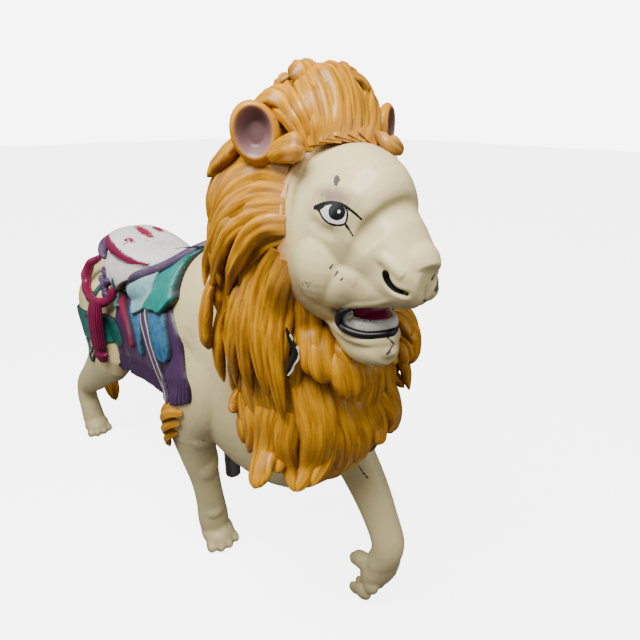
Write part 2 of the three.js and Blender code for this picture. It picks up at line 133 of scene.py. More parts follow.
def smooth_path(stations: Rows, steps: int) -> Array:
    """Runs a Catmull-Rom curve through rows of numbers.

    Args:
        stations: the rows that it passes through.
        steps: how many rows to return.

    Returns:
        The rows along the curve.
    """
    p = np.asarray(stations, float)
    p = np.vstack([2 * p[0] - p[1], p, 2 * p[-1] - p[-2]])
    t = np.linspace(0, len(stations) - 1, steps)
    i = np.clip(t.astype(int), 0, len(stations) - 2)
    f = (t - i)[:, None]
    a, b, c, d = p[i], p[i + 1], p[i + 2], p[i + 3]
    cubic = (3 * b - a - 3 * c + d) * f**3 + (2 * a - 5 * b + 4 * c - d) * f**2
    return 0.5 * (2 * b + (c - a) * f + cubic)


def unit(v: Array) -> Array:
    """Scales vectors to a length of one."""
    return v / np.maximum(np.linalg.norm(v, axis=-1, keepdims=True), 1e-9)


def frames_along(path: Array, across: Array) -> tuple[Array, Array, Array]:
    """Gives a path's tangent, and the two directions square to it.

    Args:
        path: its points.
        across: roughly the direction of the width, one for all points or one for each.

    Returns:
        The tangents, the width directions and the depth directions.
    """
    along = unit(np.gradient(path, axis=0))
    across = np.broadcast_to(across, path.shape)
    side = unit(across - along * np.sum(across * along, axis=1, keepdims=True))
    return along, side, np.cross(along, side)


def bridge(loops: int, sides: int) -> list[tuple[int, ...]]:
    """The quads between loops of points, with an end face on the first and the last."""
    quads = [
        (i * sides + j, i * sides + (j + 1) % sides, (i + 1) * sides + (j + 1) % sides, (i + 1) * sides + j)
        for i in range(loops - 1)
        for j in range(sides)
    ]
    first = tuple(reversed(range(sides)))
    last = tuple(range((loops - 1) * sides, loops * sides))
    return [*quads, first, last]


def loft(
    stations: Rows, steps: int, sides: int, across: Axis | Array = Axis.Y, power: float = 2.0
) -> Shell:
    """A smooth limb through stations of x, y, z, half width and half depth.

    Args:
        stations: the places and sizes that it passes through.
        steps: how many rings it has.
        sides: how many points a ring has.
        across: the direction of the width.
        power: 2 for round rings, more for squarer ones.

    Returns:
        The closed limb.
    """
    rows = smooth_path(stations, steps)
    direction = np.array(across.value) if isinstance(across, Axis) else across
    _, side, face = frames_along(rows[:, :3], direction)
    a = np.linspace(0, 2 * math.pi, sides, endpoint=False)
    cos = np.sign(np.cos(a)) * np.abs(np.cos(a)) ** (2 / power)
    sin = np.sign(np.sin(a)) * np.abs(np.sin(a)) ** (2 / power)
    wide, deep = np.maximum(rows[:, 3], 0.5), np.maximum(rows[:, 4], 0.5)
    points = (
        rows[:, None, :3]
        + side[:, None] * (wide[:, None] * cos)[..., None]
        + face[:, None] * (deep[:, None] * sin)[..., None]
    )
    return Shell(points.reshape(-1, 3), bridge(steps, sides))


def egg(centre: tuple[float, ...], radii: tuple[float, ...], lean: tuple[float, ...] = (0, 0, 0)) -> Shell:
    """An egg-shaped lump of clay.

    Args:
        centre: its middle.
        radii: half its size along x, y and z.
        lean: turns about x, y and z in degrees, in that order.

    Returns:
        The closed lump.
    """
    rings, sides = 13, 20
    a = np.linspace(0.02, math.pi - 0.02, rings)[:, None]
    b = np.linspace(0, 2 * math.pi, sides, endpoint=False)[None]
    ball = np.stack([np.sin(a) * np.cos(b), np.sin(a) * np.sin(b), -np.cos(a) * np.ones_like(b)], -1)
    points = ball.reshape(-1, 3) * np.array(radii)
    for axis, degrees in enumerate(lean):
        points = turned(points, axis, degrees)
    return Shell(points + np.array(centre), bridge(rings, sides))


def turned(points: Array, axis: int, degrees: float) -> Array:
    """Turns points about one axis through the origin."""
    c, s = math.cos(math.radians(degrees)), math.sin(math.radians(degrees))
    i, j = (axis + 1) % 3, (axis + 2) % 3
    out = points.copy()
    out[:, i] = c * points[:, i] - s * points[:, j]
    out[:, j] = s * points[:, i] + c * points[:, j]
    return out


def mirrored(shell: Shell) -> Shell:
    """The same shell on the other side of y = 0, still the right way out."""
    return Shell(shell.points * np.array([1, -1, 1]), [tuple(reversed(f)) for f in shell.faces])


def merged(shells: list[Shell]) -> Shell:
    """Several shells as one."""
    starts = np.cumsum([0] + [len(s.points) for s in shells])
    faces = [tuple(i + int(start) for i in f) for s, start in zip(shells, starts) for f in s.faces]
    return Shell(np.vstack([s.points for s in shells]), faces)


def deselect() -> None:
    """Selects nothing, so that an operator acts only on what is chosen next."""
    bpy.ops.object.select_all(action="DESELECT")


def piece_from(name: str, shell: Shell) -> bpy.types.Object:
    """Makes an object of a shell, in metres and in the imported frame."""
    mesh = bpy.data.meshes.new(name)
    mesh.from_pydata(((shell.points + DRAWN_TO_PACKED) * MM).tolist(), [], shell.faces)
    piece = bpy.data.objects.new(name, mesh)
    bpy.context.scene.collection.objects.link(piece)
    return piece


def apply(piece: bpy.types.Object, kind: str, **settings: object) -> None:
    """Adds a modifier to a piece and applies it.

    Args:
        piece: the object.
        kind: the modifier's type.
        settings: the modifier's own properties.
    """
    deselect()
    bpy.context.view_layer.objects.active = piece
    piece.select_set(True)
    modifier = piece.modifiers.new(kind.lower(), kind)
    for key, value in settings.items():
        setattr(modifier, key, value)
    bpy.ops.object.modifier_apply(modifier=modifier.name)


def clay(name: str, shells: list[Shell], grain: float, soften: int) -> bpy.types.Object:
    """Joins lumps of clay into one skin.

    Args:
        name: the piece's name.
        shells: the lumps.
        grain: the skin's mesh size in millimetres.
        soften: how many rounds of smoothing blend the lumps.

    Returns:
        The piece.
    """
    piece = piece_from(name, merged(shells))
    apply(piece, "REMESH", mode="VOXEL", voxel_size=grain * MM, adaptivity=0.0)
    apply(piece, "SMOOTH", factor=0.5, iterations=soften)
    return piece


@dataclass
class Surface:
    """A piece's points in the drawn frame, to be pushed, creased and painted.

    Attributes:
        piece: the Blender object.
        points: its points, in millimetres.
        normals: the direction that each point's skin faces.
    """

    piece: bpy.types.Object
    points: Array = field(init=False)
    normals: Array = field(init=False)

    def __post_init__(self) -> None:
        """Reads the piece's mesh."""
        self.read()

    def read(self) -> None:
        """Reads the points and their normals."""
        mesh = self.piece.data
        flat = np.empty(len(mesh.vertices) * 3)
        mesh.vertices.foreach_get("co", flat)
        self.points = flat.reshape(-1, 3) / MM - DRAWN_TO_PACKED
        mesh.vertices.foreach_get("normal", flat)
        self.normals = flat.reshape(-1, 3).copy()

    def write(self) -> None:
        """Puts the points back, and reads the new normals."""
        mesh = self.piece.data
        mesh.vertices.foreach_set("co", ((self.points + DRAWN_TO_PACKED) * MM).ravel())
        mesh.update()
        self.read()

    def push(
        self, centre: tuple[float, ...], radius: float, amount: float, stretch: tuple = (1, 1, 1)
    ) -> None:
        """Raises a soft mound, or sinks a hollow.

        Args:
            centre: its middle.
            radius: how far it reaches.
            amount: its height, negative for a hollow.
            stretch: how much longer it is along x, y and z.
        """
        away = np.linalg.norm((self.points - np.array(centre)) / np.array(stretch), axis=1)
        self.points += self.normals * (amount * soft(away / radius))[:, None]

    def crease(self, path: Rows, radius: float, amount: float) -> None:
        """Raises a ridge along a path, or cuts a groove.

        Args:
            path: the places that it passes through.
            radius: half its width.
            amount: its height, negative for a groove.
        """
        away, share = to_path(self.points, np.asarray(path, float))
        taper = np.clip(np.minimum(share, 1 - share) * 8 + 0.35, 0, 1)
        self.points += self.normals * (amount * taper * soft(away / radius))[:, None]

    def paint(self, name: str, values: Array) -> None:
        """Stores one number for each point, for the finish to read."""
        layer = self.piece.data.attributes.new(name, "FLOAT", "POINT")
        layer.data.foreach_set("value", np.asarray(values, np.float32))

    def scar(self, marks: tuple[tuple[float, Rows], ...]) -> None:
        """Marks the places where the coat is chipped or cracked.

        Args:
            marks: for each, half its width, and the places that it passes through.
        """
        deep = np.zeros(len(self.points))
        for wide, path in marks:
            away, _ = to_path(self.points, np.asarray(path, float))
            deep = np.maximum(deep, wide + 1.6 - away)
        self.paint("mark", np.clip(deep, 0, 6))

    def sweep(self, name: str, values: Array) -> None:
        """Stores three numbers for each point: across and along a strand, and which strand it is."""
        layer = self.piece.data.attributes.new(name, "FLOAT_VECTOR", "POINT")
        layer.data.foreach_set("vector", np.asarray(values, np.float32).ravel())


def soft(x: Array) -> Array:
    """A smooth fall from one at 0 to nothing at 1."""
    x = np.clip(x, 0, 1)
    return (1 - x * x) ** 2


def to_path(points: Array, path: Array) -> tuple[Array, Array]:
    """How far points are from a path, and how far along it their nearest place is.

    Args:
        points: the points.
        path: the path's corners.

    Returns:
        Each point's distance, and its share of the path's length.
    """
    lengths = np.linalg.norm(np.diff(path, axis=0), axis=1)
    total = lengths.sum()
    best = np.full(len(points), np.inf)
    share = np.zeros(len(points))
    done = 0.0
    for start, end, length in zip(path[:-1], path[1:], lengths):
        t = np.clip((points - start) @ (end - start) / max(length * length, 1e-9), 0, 1)
        away = np.linalg.norm(points - start - t[:, None] * (end - start), axis=1)
        nearer = away < best
        best = np.where(nearer, away, best)
        share = np.where(nearer, (done + t * length) / total, share)
        done += length
    return best, share


def step(low: float, high: float, x: Array) -> Array:
    """A smooth rise from nothing at low to one at high."""
    t = np.clip((x - low) / (high - low), 0, 1)
    return t * t * (3 - 2 * t)


def finish_piece(piece: bpy.types.Object, material: bpy.types.Material, angle: float = 50.0) -> None:
    """Gives a piece its material and smooth shading, hangs it under the root body and hides the imported
    lion.

    Args:
        piece: the object.
        material: its finish.
        angle: edges sharper than this, in degrees, stay sharp.
    """
    piece.data.materials.clear()
    piece.data.materials.append(material)
    deselect()
    bpy.context.view_layer.objects.active = piece
    piece.select_set(True)
    bpy.ops.object.shade_smooth_by_angle(angle=math.radians(angle))
    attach(piece, "root")
    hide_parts("lion")
    triangles = sum(len(p.vertices) - 2 for p in piece.data.polygons)
    log.info("%s: %d triangles", piece.name, triangles)


# Finishes


class Paint(Enum):
    """The sign-writer's gloss enamels, as sRGB hex."""

    CREAM = "DCCB95"
    # CREAM_SHADE and GOLD_DEEP are the painted shade on cream and on gold; GOLD_DEEP also tints the mane's
    # dull streaks
    CREAM_SHADE = "5E5038"
    CREAM_WORN = "8A7A55"
    PRIMER = "55524A"
    GOLD = "C48203"
    GOLD_LIGHT = "DA9C04"
    GOLD_DEEP = "4E2A02"
    ROSE_WHITE = "CC9058"
    MAUVE = "7F5F5C"
    BLACK = "0E0E12"
    EYE_WHITE = "D9D8D2"
    EYE_GREY = "8C8C8C"
    TONGUE = "7C1040"
    GUM = "CFCBC0"
    PURPLE = "4C2E57"
    TRIM = "5A4463"
    TURQUOISE = "14A294"
    PALE_BLUE = "80C6CE"
    BLUE = "1B659C"
    TEAL = "1F5A50"
    MAGENTA = "7A1240"
    SEAT_WHITE = "EBE8E0"
    SEAT_RED = "981B45"
    STEEL = "7C7E80"


@dataclass(frozen=True)
class Enamel:
    """Gloss enamel brushed on a glass-fibre moulding.

    Thick brush coats level out to a shine with a faint ripple and chip to the grey primer; a painted shade
    darkens their hollows and undersides.

    Attributes:
        name: the finish's name.
        main: the coat's colour.
        shade: the colour of the painted shade in hollows and on undersides.
        light: the colour of worn high places.
        roughness: of the clean coat.
        ripple_mm: spacing of the brush marks.
        chips: how much of the coat is chipped, from 0 to 1.
        worn: how strongly the light colour breaks through.
    """

    name: str
    main: Paint
    shade: Paint
    light: Paint
    roughness: float = 0.34
    ripple_mm: float = 9.0
    chips: float = 0.3
    worn: float = 0.35

    def ground(self, graph: Graph) -> bpy.types.NodeSocket:
        """Mixes the coat's colour with its wear and its painted shade.

        Args:
            graph: the material's tree.

        Returns:
            The colour.
        """
        place = graph.add("TexCoord").outputs["Object"]
        # patches of old coat about 60 mm across, and smears about 8 mm across
        patches = graph.add("TexNoise", {}, {"Vector": place, "Scale": 16.0, "Detail": 4.0})
        smears = graph.add(
            "TexNoise", {}, {"Vector": place, "Scale": 120.0, "Detail": 5.0, "Roughness": 0.65}
        )
        both = graph.add("Math", {"operation": "MULTIPLY"}, {0: patches.outputs[0], 1: smears.outputs[0]})
        high = graph.add(
            "MapRange", {}, {
                "Value": both.outputs[0], "From Min": 0.24, "From Max": 0.42, "To Max": self.worn
            }
        )
        # painted shade: the coat goes towards its shade colour by the hollow number that each piece stores
        # for its hollows and undersides, mottled a little by the smears
        hollow = graph.add("Attribute", {"attribute_name": "hollow"}).outputs["Fac"]
        shade_mottle = graph.add("Math", {"operation": "MULTIPLY_ADD"}, {0: smears.outputs[0], 1: 0.5, 2: 0.55})
        painted_shade = graph.add(
            "Math", {"operation": "MULTIPLY", "use_clamp": True}, {0: hollow, 1: shade_mottle.outputs[0]}
        )
        coat = mix(graph, high.outputs[0], srgb(self.main.value), srgb(self.light.value))
        return mix(graph, painted_shade.outputs[0], coat, srgb(self.shade.value))

    def close(self, graph: Graph, colour: bpy.types.NodeSocket) -> bpy.types.Material:
        """Adds the chips, the ripple and the shader.

        Args:
            graph: the material's tree.
            colour: the painted colour.

        Returns:
            The material.
        """
        place = graph.add("TexCoord").outputs["Object"]
        # chips 2 to 6 mm across, in loose clusters about 90 mm apart
        fleck = graph.add(
            "TexNoise", {}, {"Vector": place, "Scale": 210.0, "Detail": 3.0, "Roughness": 0.7}
        )
        cluster = graph.add("TexNoise", {}, {"Vector": place, "Scale": 11.0, "Detail": 2.0})
        chance = graph.add("Math", {"operation": "MULTIPLY"}, {0: fleck.outputs[0], 1: cluster.outputs[0]})
        level = 0.46 - 0.09 * self.chips
        bare = graph.add(
            "MapRange", {}, {"Value": chance.outputs[0], "From Min": level, "From Max": level + 0.012}
        )
        mark = graph.add("Attribute", {"attribute_name": "mark"}).outputs["Fac"]
        rough_mark = graph.add(
            "Math", {"operation": "MULTIPLY_ADD"}, {0: fleck.outputs[0], 1: 5.0, 2: -2.5}
        ).outputs[0]
        rough_mark = graph.add("Math", {"operation": "ADD"}, {0: mark, 1: rough_mark}).outputs[0]
        hit = graph.add("MapRange", {}, {"Value": rough_mark, "From Min": 1.2, "From Max": 2.0}).outputs[0]
        bare = graph.add("Math", {"operation": "MAXIMUM"}, {0: bare.outputs[0], 1: hit})
        chipped = mix(graph, bare.outputs[0], colour, srgb(Paint.PRIMER.value))
        ripple = graph.add(
            "TexNoise", {}, {
                "Vector": place, "Scale": 1000 / self.ripple_mm, "Detail": 3.0, "Distortion": 0.3
            }
        )
        drop = graph.add(
            "Math", {"operation": "MULTIPLY_ADD"}, {0: bare.outputs[0], 1: -0.9, 2: ripple.outputs[0]}
        )
        bump = graph.add("Bump", {}, {"Strength": 0.35, "Distance": 0.0006, "Height": drop.outputs[0]})
        rough = graph.add(
            "MapRange",
            {},
            {"Value": ripple.outputs[0], "To Min": self.roughness - 0.08, "To Max": self.roughness + 0.12},
        )
        shader = graph.add(
            "BsdfPrincipled",
            {},
            {
                "Base Color": chipped,
                "Roughness": rough.outputs[0],
                "Specular IOR Level": 0.28,
                "Coat Weight": 0.1,
                "Coat Roughness": 0.14,
                "Normal": bump.outputs[0],
            },
        )
        graph.add("OutputMaterial", {}, {"Surface": shader.outputs[0]})
        return graph.material

    def material(self) -> bpy.types.Material:
        """Makes the plain coat."""
        graph = Graph(self.name)
        return self.close(graph, self.ground(graph))


def mix(graph: Graph, factor: object, low: object, high: object) -> bpy.types.NodeSocket:
    """Mixes two colours, each given as a colour or a socket, and returns the result's socket."""
    node = graph.add("Mix", {"data_type": "RGBA", "clamp_factor": True}, {0: factor, 6: low, 7: high})
    return node.outputs[2]


def zone(graph: Graph, name: str, soft_mm: float = 1.0, ragged_mm: float = 0.0) -> bpy.types.NodeSocket:
    """Reads a painted zone's distance in millimetres, negative inside, as a factor of one inside it.

    Args:
        graph: the material's tree.
        name: the attribute that holds the distance.
        soft_mm: how wide the edge is.
        ragged_mm: how far the brush strays from it.

    Returns:
        The factor.
    """
    away = graph.add("Attribute", {"attribute_name": name}).outputs["Fac"]
    if ragged_mm:
        place = graph.add("TexCoord").outputs["Object"]
        stray = graph.add("TexNoise", {}, {"Vector": place, "Scale": 160.0, "Detail": 3.0})
        away = graph.add(
            "Math", {"operation": "MULTIPLY_ADD"}, {0: stray.outputs[0], 1: 2 * ragged_mm, 2: away}
        ).outputs[0]
        away = graph.add("Math", {"operation": "SUBTRACT"}, {0: away, 1: ragged_mm}).outputs[0]
    edge = graph.add(
        "MapRange", {}, {
            "Value": away, "From Min": -soft_mm / 2, "From Max": soft_mm / 2, "To Min": 1.0, "To Max": 0.0
        }
    )
    return edge.outputs[0]


# The body


TORSO: Rows = [
    (-612, 0, 640, 30, 36),
    (-590, 0, 640, 80, 90),
    (-520, 0, 640, 122, 126),
    (-420, 0, 634, 142, 146),
    (-290, 0, 622, 146, 152),
    (-140, 0, 614, 146, 160),
    (0, 0, 616, 152, 178),
    (120, 0, 636, 160, 204),
    (230, 0, 660, 166, 248),
    (330, 0, 674, 170, 288),
    (430, 0, 664, 160, 328),
    (520, 0, 680, 126, 300),
    (575, 0, 730, 60, 150),
]


def on_flank(x: Array, z: Array, side: int, lift: Array | float = 0.0) -> Array:
    """Places on the flank: round above its middle and nearly upright below it.

    Args:
        x: how far from the tail's end to the chest.
        z: the height.
        side: RIGHT or LEFT.
        lift: how far they stand off the flank.

    Returns:
        The places.
    """
    x, z = np.broadcast_arrays(np.asarray(x, float), np.asarray(z, float))
    rows = smooth_path(TORSO, 400)
    middle = np.interp(x, rows[:, 0], rows[:, 2])
    wide = np.interp(x, rows[:, 0], rows[:, 3])
    high = np.interp(x, rows[:, 0], rows[:, 4])
    rise = np.clip((z - middle) / high, -1, 0.995)
    draw = np.where(rise > 0, np.sqrt(1 - np.clip(rise, 0, 1) ** 2), 1 - 0.06 * rise * rise)
    return np.stack([x, side * (wide * draw + lift), z], -1)


@dataclass
class Body:
    """The lion's trunk, legs, paws and tail, in one skin.

    Attributes:
        grain: the skin's mesh size in millimetres.
        toe: half the length, width and height of a toe.
        toes: how many toes a paw has.
        finish: the cream coat.
    """

    grain: float = 5.2
    toe: tuple[float, float, float] = (27, 15.5, 19)
    toes: int = 4
    finish: Enamel = Enamel(
        "cream_enamel", Paint.CREAM, Paint.CREAM_SHADE, Paint.CREAM_WORN, chips=0.35, worn=0.16
    )

    def standing_paw(self, x: float, y: float, heading: float, size: float = 1.0) -> list[Shell]:
        """A paw flat on the floor, its toes fanned a little.

        Args:
            x: where its middle is.
            y: the same, to the lion's left.
            heading: the degrees by which it turns to the lion's left.
            size: how long and wide it is beside the others.

        Returns:
            Its lumps.
        """
        lumps = [egg((4, 0, 32), (56, 47, 36)), egg((-22, 0, 26), (40, 38, 28))]
        for i in range(self.toes):
            fan = (i - (self.toes - 1) / 2) * 21
            a = math.radians(fan)
            reach = 50 - 5 * abs(i - 1.5)
            lumps.append(egg((reach * math.cos(a) - 2, 62 * math.sin(a), 19), self.toe, (0, 0, fan * 0.6)))
            lumps.append(
                egg((reach * 0.55 * math.cos(a), 44 * math.sin(a), 36), (30, 14, 20), (0, 16, fan * 0.5))
            )
        stretch = np.array([size, 0.5 + 0.5 * size, 1.0])
        return [Shell(turned(s.points * stretch, 2, heading) + np.array([x, y, 0]), s.faces) for s in lumps]

    def fore_right(self) -> list[Shell]:
        """The planted foreleg: shoulder, forearm, wrist and paw."""
        leg = loft(
            [
                (380, -90, 800, 46, 70),
                (366, -108, 700, 64, 120),
                (330, -120, 600, 68, 124),
                (282, -128, 500, 64, 100),
                (266, -128, 430, 58, 84),
                (264, -118, 340, 50, 62),
                (262, -104, 240, 42, 50),
                (260, -94, 150, 42, 47),
                (260, -90, 80, 46, 50),
                (262, -90, 30, 42, 46),
            ],
            40,
            28,
        )
        lumps = [
            egg((300, -132, 470), (70, 50, 84), (0, 14, 0)),
            egg((238, -122, 452), (44, 40, 40)),
            egg((288, -112, 330), (40, 40, 80)),
            egg((282, -96, 128), (30, 32, 36)),
        ]
        return [leg, *lumps, *self.standing_paw(272, -88, -10, 1.14)]

    def fore_left(self) -> list[Shell]:
        """The raised foreleg: it swings out and its curled toes touch the floor."""
        leg = loft(
            [
                (400, 80, 790, 46, 80),
                (430, 104, 690, 62, 118),
                (480, 118, 600, 62, 110),
                (560, 124, 520, 60, 88),
                (640, 124, 450, 53, 68),
                (712, 122, 372, 47, 56),
                (764, 118, 300, 42, 47),
                (790, 117, 246, 42, 44),
                (786, 116, 196, 40, 40),
                (770, 115, 160, 40, 36),
            ],
            40,
            28,
        )
        back = loft(
            [
                (788, 120, 210, 40, 36), (778, 126, 160, 49, 40), (760, 128, 112, 54, 42),
                (736, 128, 76, 44, 32),
            ],
            12,
            24,
        )
        toes = []
        for share in (-0.75, -0.25, 0.25, 0.75):
            y = 129 + 52 * share
            toes += [
                egg((768, y - 1, 86), (24, 16, 31), (0, 20, 0)), egg((740, y, 38), (31, 16, 26), (0, -30, 0))
            ]
            toes.append(egg((712, y - 1, 25), (23, 12.5, 19), (0, -20, 0)))
        thumb = [egg((722, 100, 134), (34, 21, 28), (0, -20, 0)), egg((700, 98, 122), (20, 15, 20))]
        wrist = [egg((800, 117, 250), (26, 34, 40)), egg((604, 128, 470), (80, 50, 54), (0, 40, 0))]
        return [leg, back, *toes, *thumb, *wrist]

    def hind(self, side: int, out: float, knee: float, hock: float, foot: float) -> list[Shell]:
        """A hind leg, from the thigh to the paw.

        Args:
            side: RIGHT or LEFT.
            out: how far the paw stands to that side.
            knee: how far along the body the knee is.
            hock: the same, for the hock.
            foot: the same, for the paw.

        Returns:
            Its lumps.
        """
        hip = -430 if side == RIGHT else -400

        def between(share: float) -> float:
            """A place between the knee and the hock."""
            return knee + (hock - knee) * share

        leg = loft(
            [
                (hip - 30, side * out * 0.44, 700, 44, 70),
                (hip, side * out * 0.6, 640, 66, 124),
                (hip + (knee - hip) * 0.6, side * out * 0.7, 560, 70, 134),
                (knee, side * out * 0.8, 480, 62, 112),
                (between(0.26), side * out * 0.86, 390, 52, 84),
                (between(0.62), side * out * 0.93, 295, 42, 62),
                (between(0.92), side * out * 0.97, 222, 37, 50),
                (hock, side * out, 160, 36, 46),
                (hock + (foot - hock) * 0.25, side * out, 105, 38, 44),
                (hock + (foot - hock) * 0.6, side * out, 50, 42, 44),
            ],
            40,
            28,
        )
        heel = egg((hock - 16, side * out, 186), (34, 28, 40), (0, -24, 0))
        return [leg, heel, *self.standing_paw(foot, side * out, -4)]

    def tail(self) -> Shell:
        """The tail's shaft, from the rump to its tuft."""
        return loft(
            [
                (-560, 0, 690, 30, 30),
                (-622, 0, 664, 27, 28),
                (-672, -6, 580, 22, 23),
                (-694, -18, 470, 19, 20),
                (-702, -30, 350, 18, 19),
                (-696, -40, 240, 19, 20),
                (-680, -44, 170, 16, 17),
            ],
            40,
            18,
        )

    def build(self) -> bpy.types.Object:
        """Models the body and dresses it.

        Returns:
            The piece.
        """
        shells = [loft(TORSO, 60, 48, power=2.1), *self.fore_right(), *self.fore_left(), self.tail()]
        shells += self.hind(RIGHT, 164, -290, -604, -562)
        shells += self.hind(LEFT, 152, -232, -488, -444)
        piece = clay("body", shells, self.grain, 5)
        surface = Surface(piece)
        surface.points[:, 2] = np.maximum(surface.points[:, 2], 0.4)
        surface.crease([(360, -172, 760), (330, -186, 640), (250, -180, 560), (196, -170, 520)], 46, -7)
        surface.crease([(330, -190, 620), (300, -186, 520), (290, -176, 430)], 44, 5)
        surface.write()
        # painted shade: darker on undersides, towards the floor and between the toes
        under = np.clip(-surface.normals[:, 2], 0, 1) * 0.55
        low = 0.35 * step(260, 60, surface.points[:, 2])
        between_toes = step(
            0.2, 0.9, np.abs(surface.normals[:, 1])
        ) * step(60, 10, surface.points[:, 2]) * 0.5
        surface.paint("hollow", np.clip(under + low + between_toes, 0, 1))
        surface.scar(
            (
                (3.2, [(366, -151, 463), (368, -150, 459)]),
                (2.4, [(336, -171, 446), (338, -170, 441)]),
                (2.2, [(700, 88, 455), (709, 90, 446), (719, 92, 435), (724, 94, 430), (729, 96, 426)]),
                (1.8, [(719, 92, 435), (712, 90, 430)]),
                (3.0, [(742, 118, 462), (746, 116, 452)]),
            )
        )
        finish_piece(piece, self.finish.material())
        return piece


# The head


HEAD_PLACE = np.array([734.0, -36.0, 1120.0])
HEAD_TURN = -10.0


def on_head(points: Array) -> Array:
    """Takes points from the head's own frame, x along the muzzle, to the drawn frame."""
    return turned(np.atleast_2d(np.asarray(points, float)), 2, HEAD_TURN) + HEAD_PLACE


def from_head(points: Array) -> Array:
    """Takes points from the drawn frame to the head's own."""
    return turned(points - HEAD_PLACE, 2, -HEAD_TURN)


# where the face's coat is chipped: half width, and places in the drawn frame
FACE_MARKS: tuple[tuple[float, Rows], ...] = (
    (6.0, [(818, -121, 1170), (822, -127, 1168)]),
    (4.0, [(815, -110, 1174), (818, -121, 1170), (826, -136, 1164)]),
    (2.2, [(839, -138, 1037), (834, -140, 1030), (841, -138, 1022)]),
    (1.8, [(829, -145, 1042), (832, -143, 1048)]),
    (1.6, [(846, -139, 1026), (850, -138, 1030)]),
    (1.6, [(885, -129, 1018), (886, -128, 1016)]),
    (1.5, [(866, -114, 1149), (872, -109, 1143), (878, -104, 1137)]),
    (1.7, [(887, -97, 1131), (890, -95, 1127), (885, -97, 1125)]),
    (4.5, [(960, -50, 1030), (962, -56, 1022)]),
    (2.4, [(958, -65, 1039), (958, -60, 1044)]),
    (2.0, [(953, -72, 1007), (956, -66, 1000), (952, -70, 994)]),
    (1.8, [(900, -83, 930), (904, -78, 924), (906, -74, 918), (904, -80, 912), (905, -84, 907)]),
    (2.2, [(905, -84, 907), (903, -87, 902)]),
    (1.6, [(876, -92, 896), (880, -90, 893)]),
)
NOSTRIL: Rows = [(197, 53, -69), (199, 52, -77), (205, 49, -86), (213, 44, -92), (225, 36, -95)]


def side_on(points: Array) -> Array:
    """Flattens places beside the nose along the way its wing faces, so that a shape can be laid on it."""
    facing = unit(np.array([0.6, 0.8, -0.1]))
    return points - 0.8 * np.outer(points @ facing, facing)


def headed(shell: Shell) -> Shell:
    """Sets a shell that is drawn in the head's frame on the lion."""
    return Shell(on_head(shell.points), shell.faces)


def outline_distance(points: Array, outline: Rows) -> Array:
    """Signed distance in a plane to a closed outline, negative inside."""
    corners = np.asarray([*outline, outline[0]], float)
    away, _ = to_path(points, corners)
    inside = np.zeros(len(points), bool)
    for (x0, y0), (x1, y1) in zip(corners[:-1], corners[1:]):
        crosses = (y0 > points[:, 1]) != (y1 > points[:, 1])
        with np.errstate(divide="ignore", invalid="ignore"):
            inside ^= crosses & (points[:, 0] < (x1 - x0) * (points[:, 1] - y0) / (y1 - y0) + x0)
    return np.where(inside, -away, away)


def stroke_distance(points: Array, path: Rows, start: float, end: float) -> Array:
    """Signed distance to a brush stroke whose half width runs from start to end, negative inside."""
    smooth = smooth_path(path, 6 * len(path))
    away, share = to_path(points, smooth)
    return away - (start + (end - start) * share)


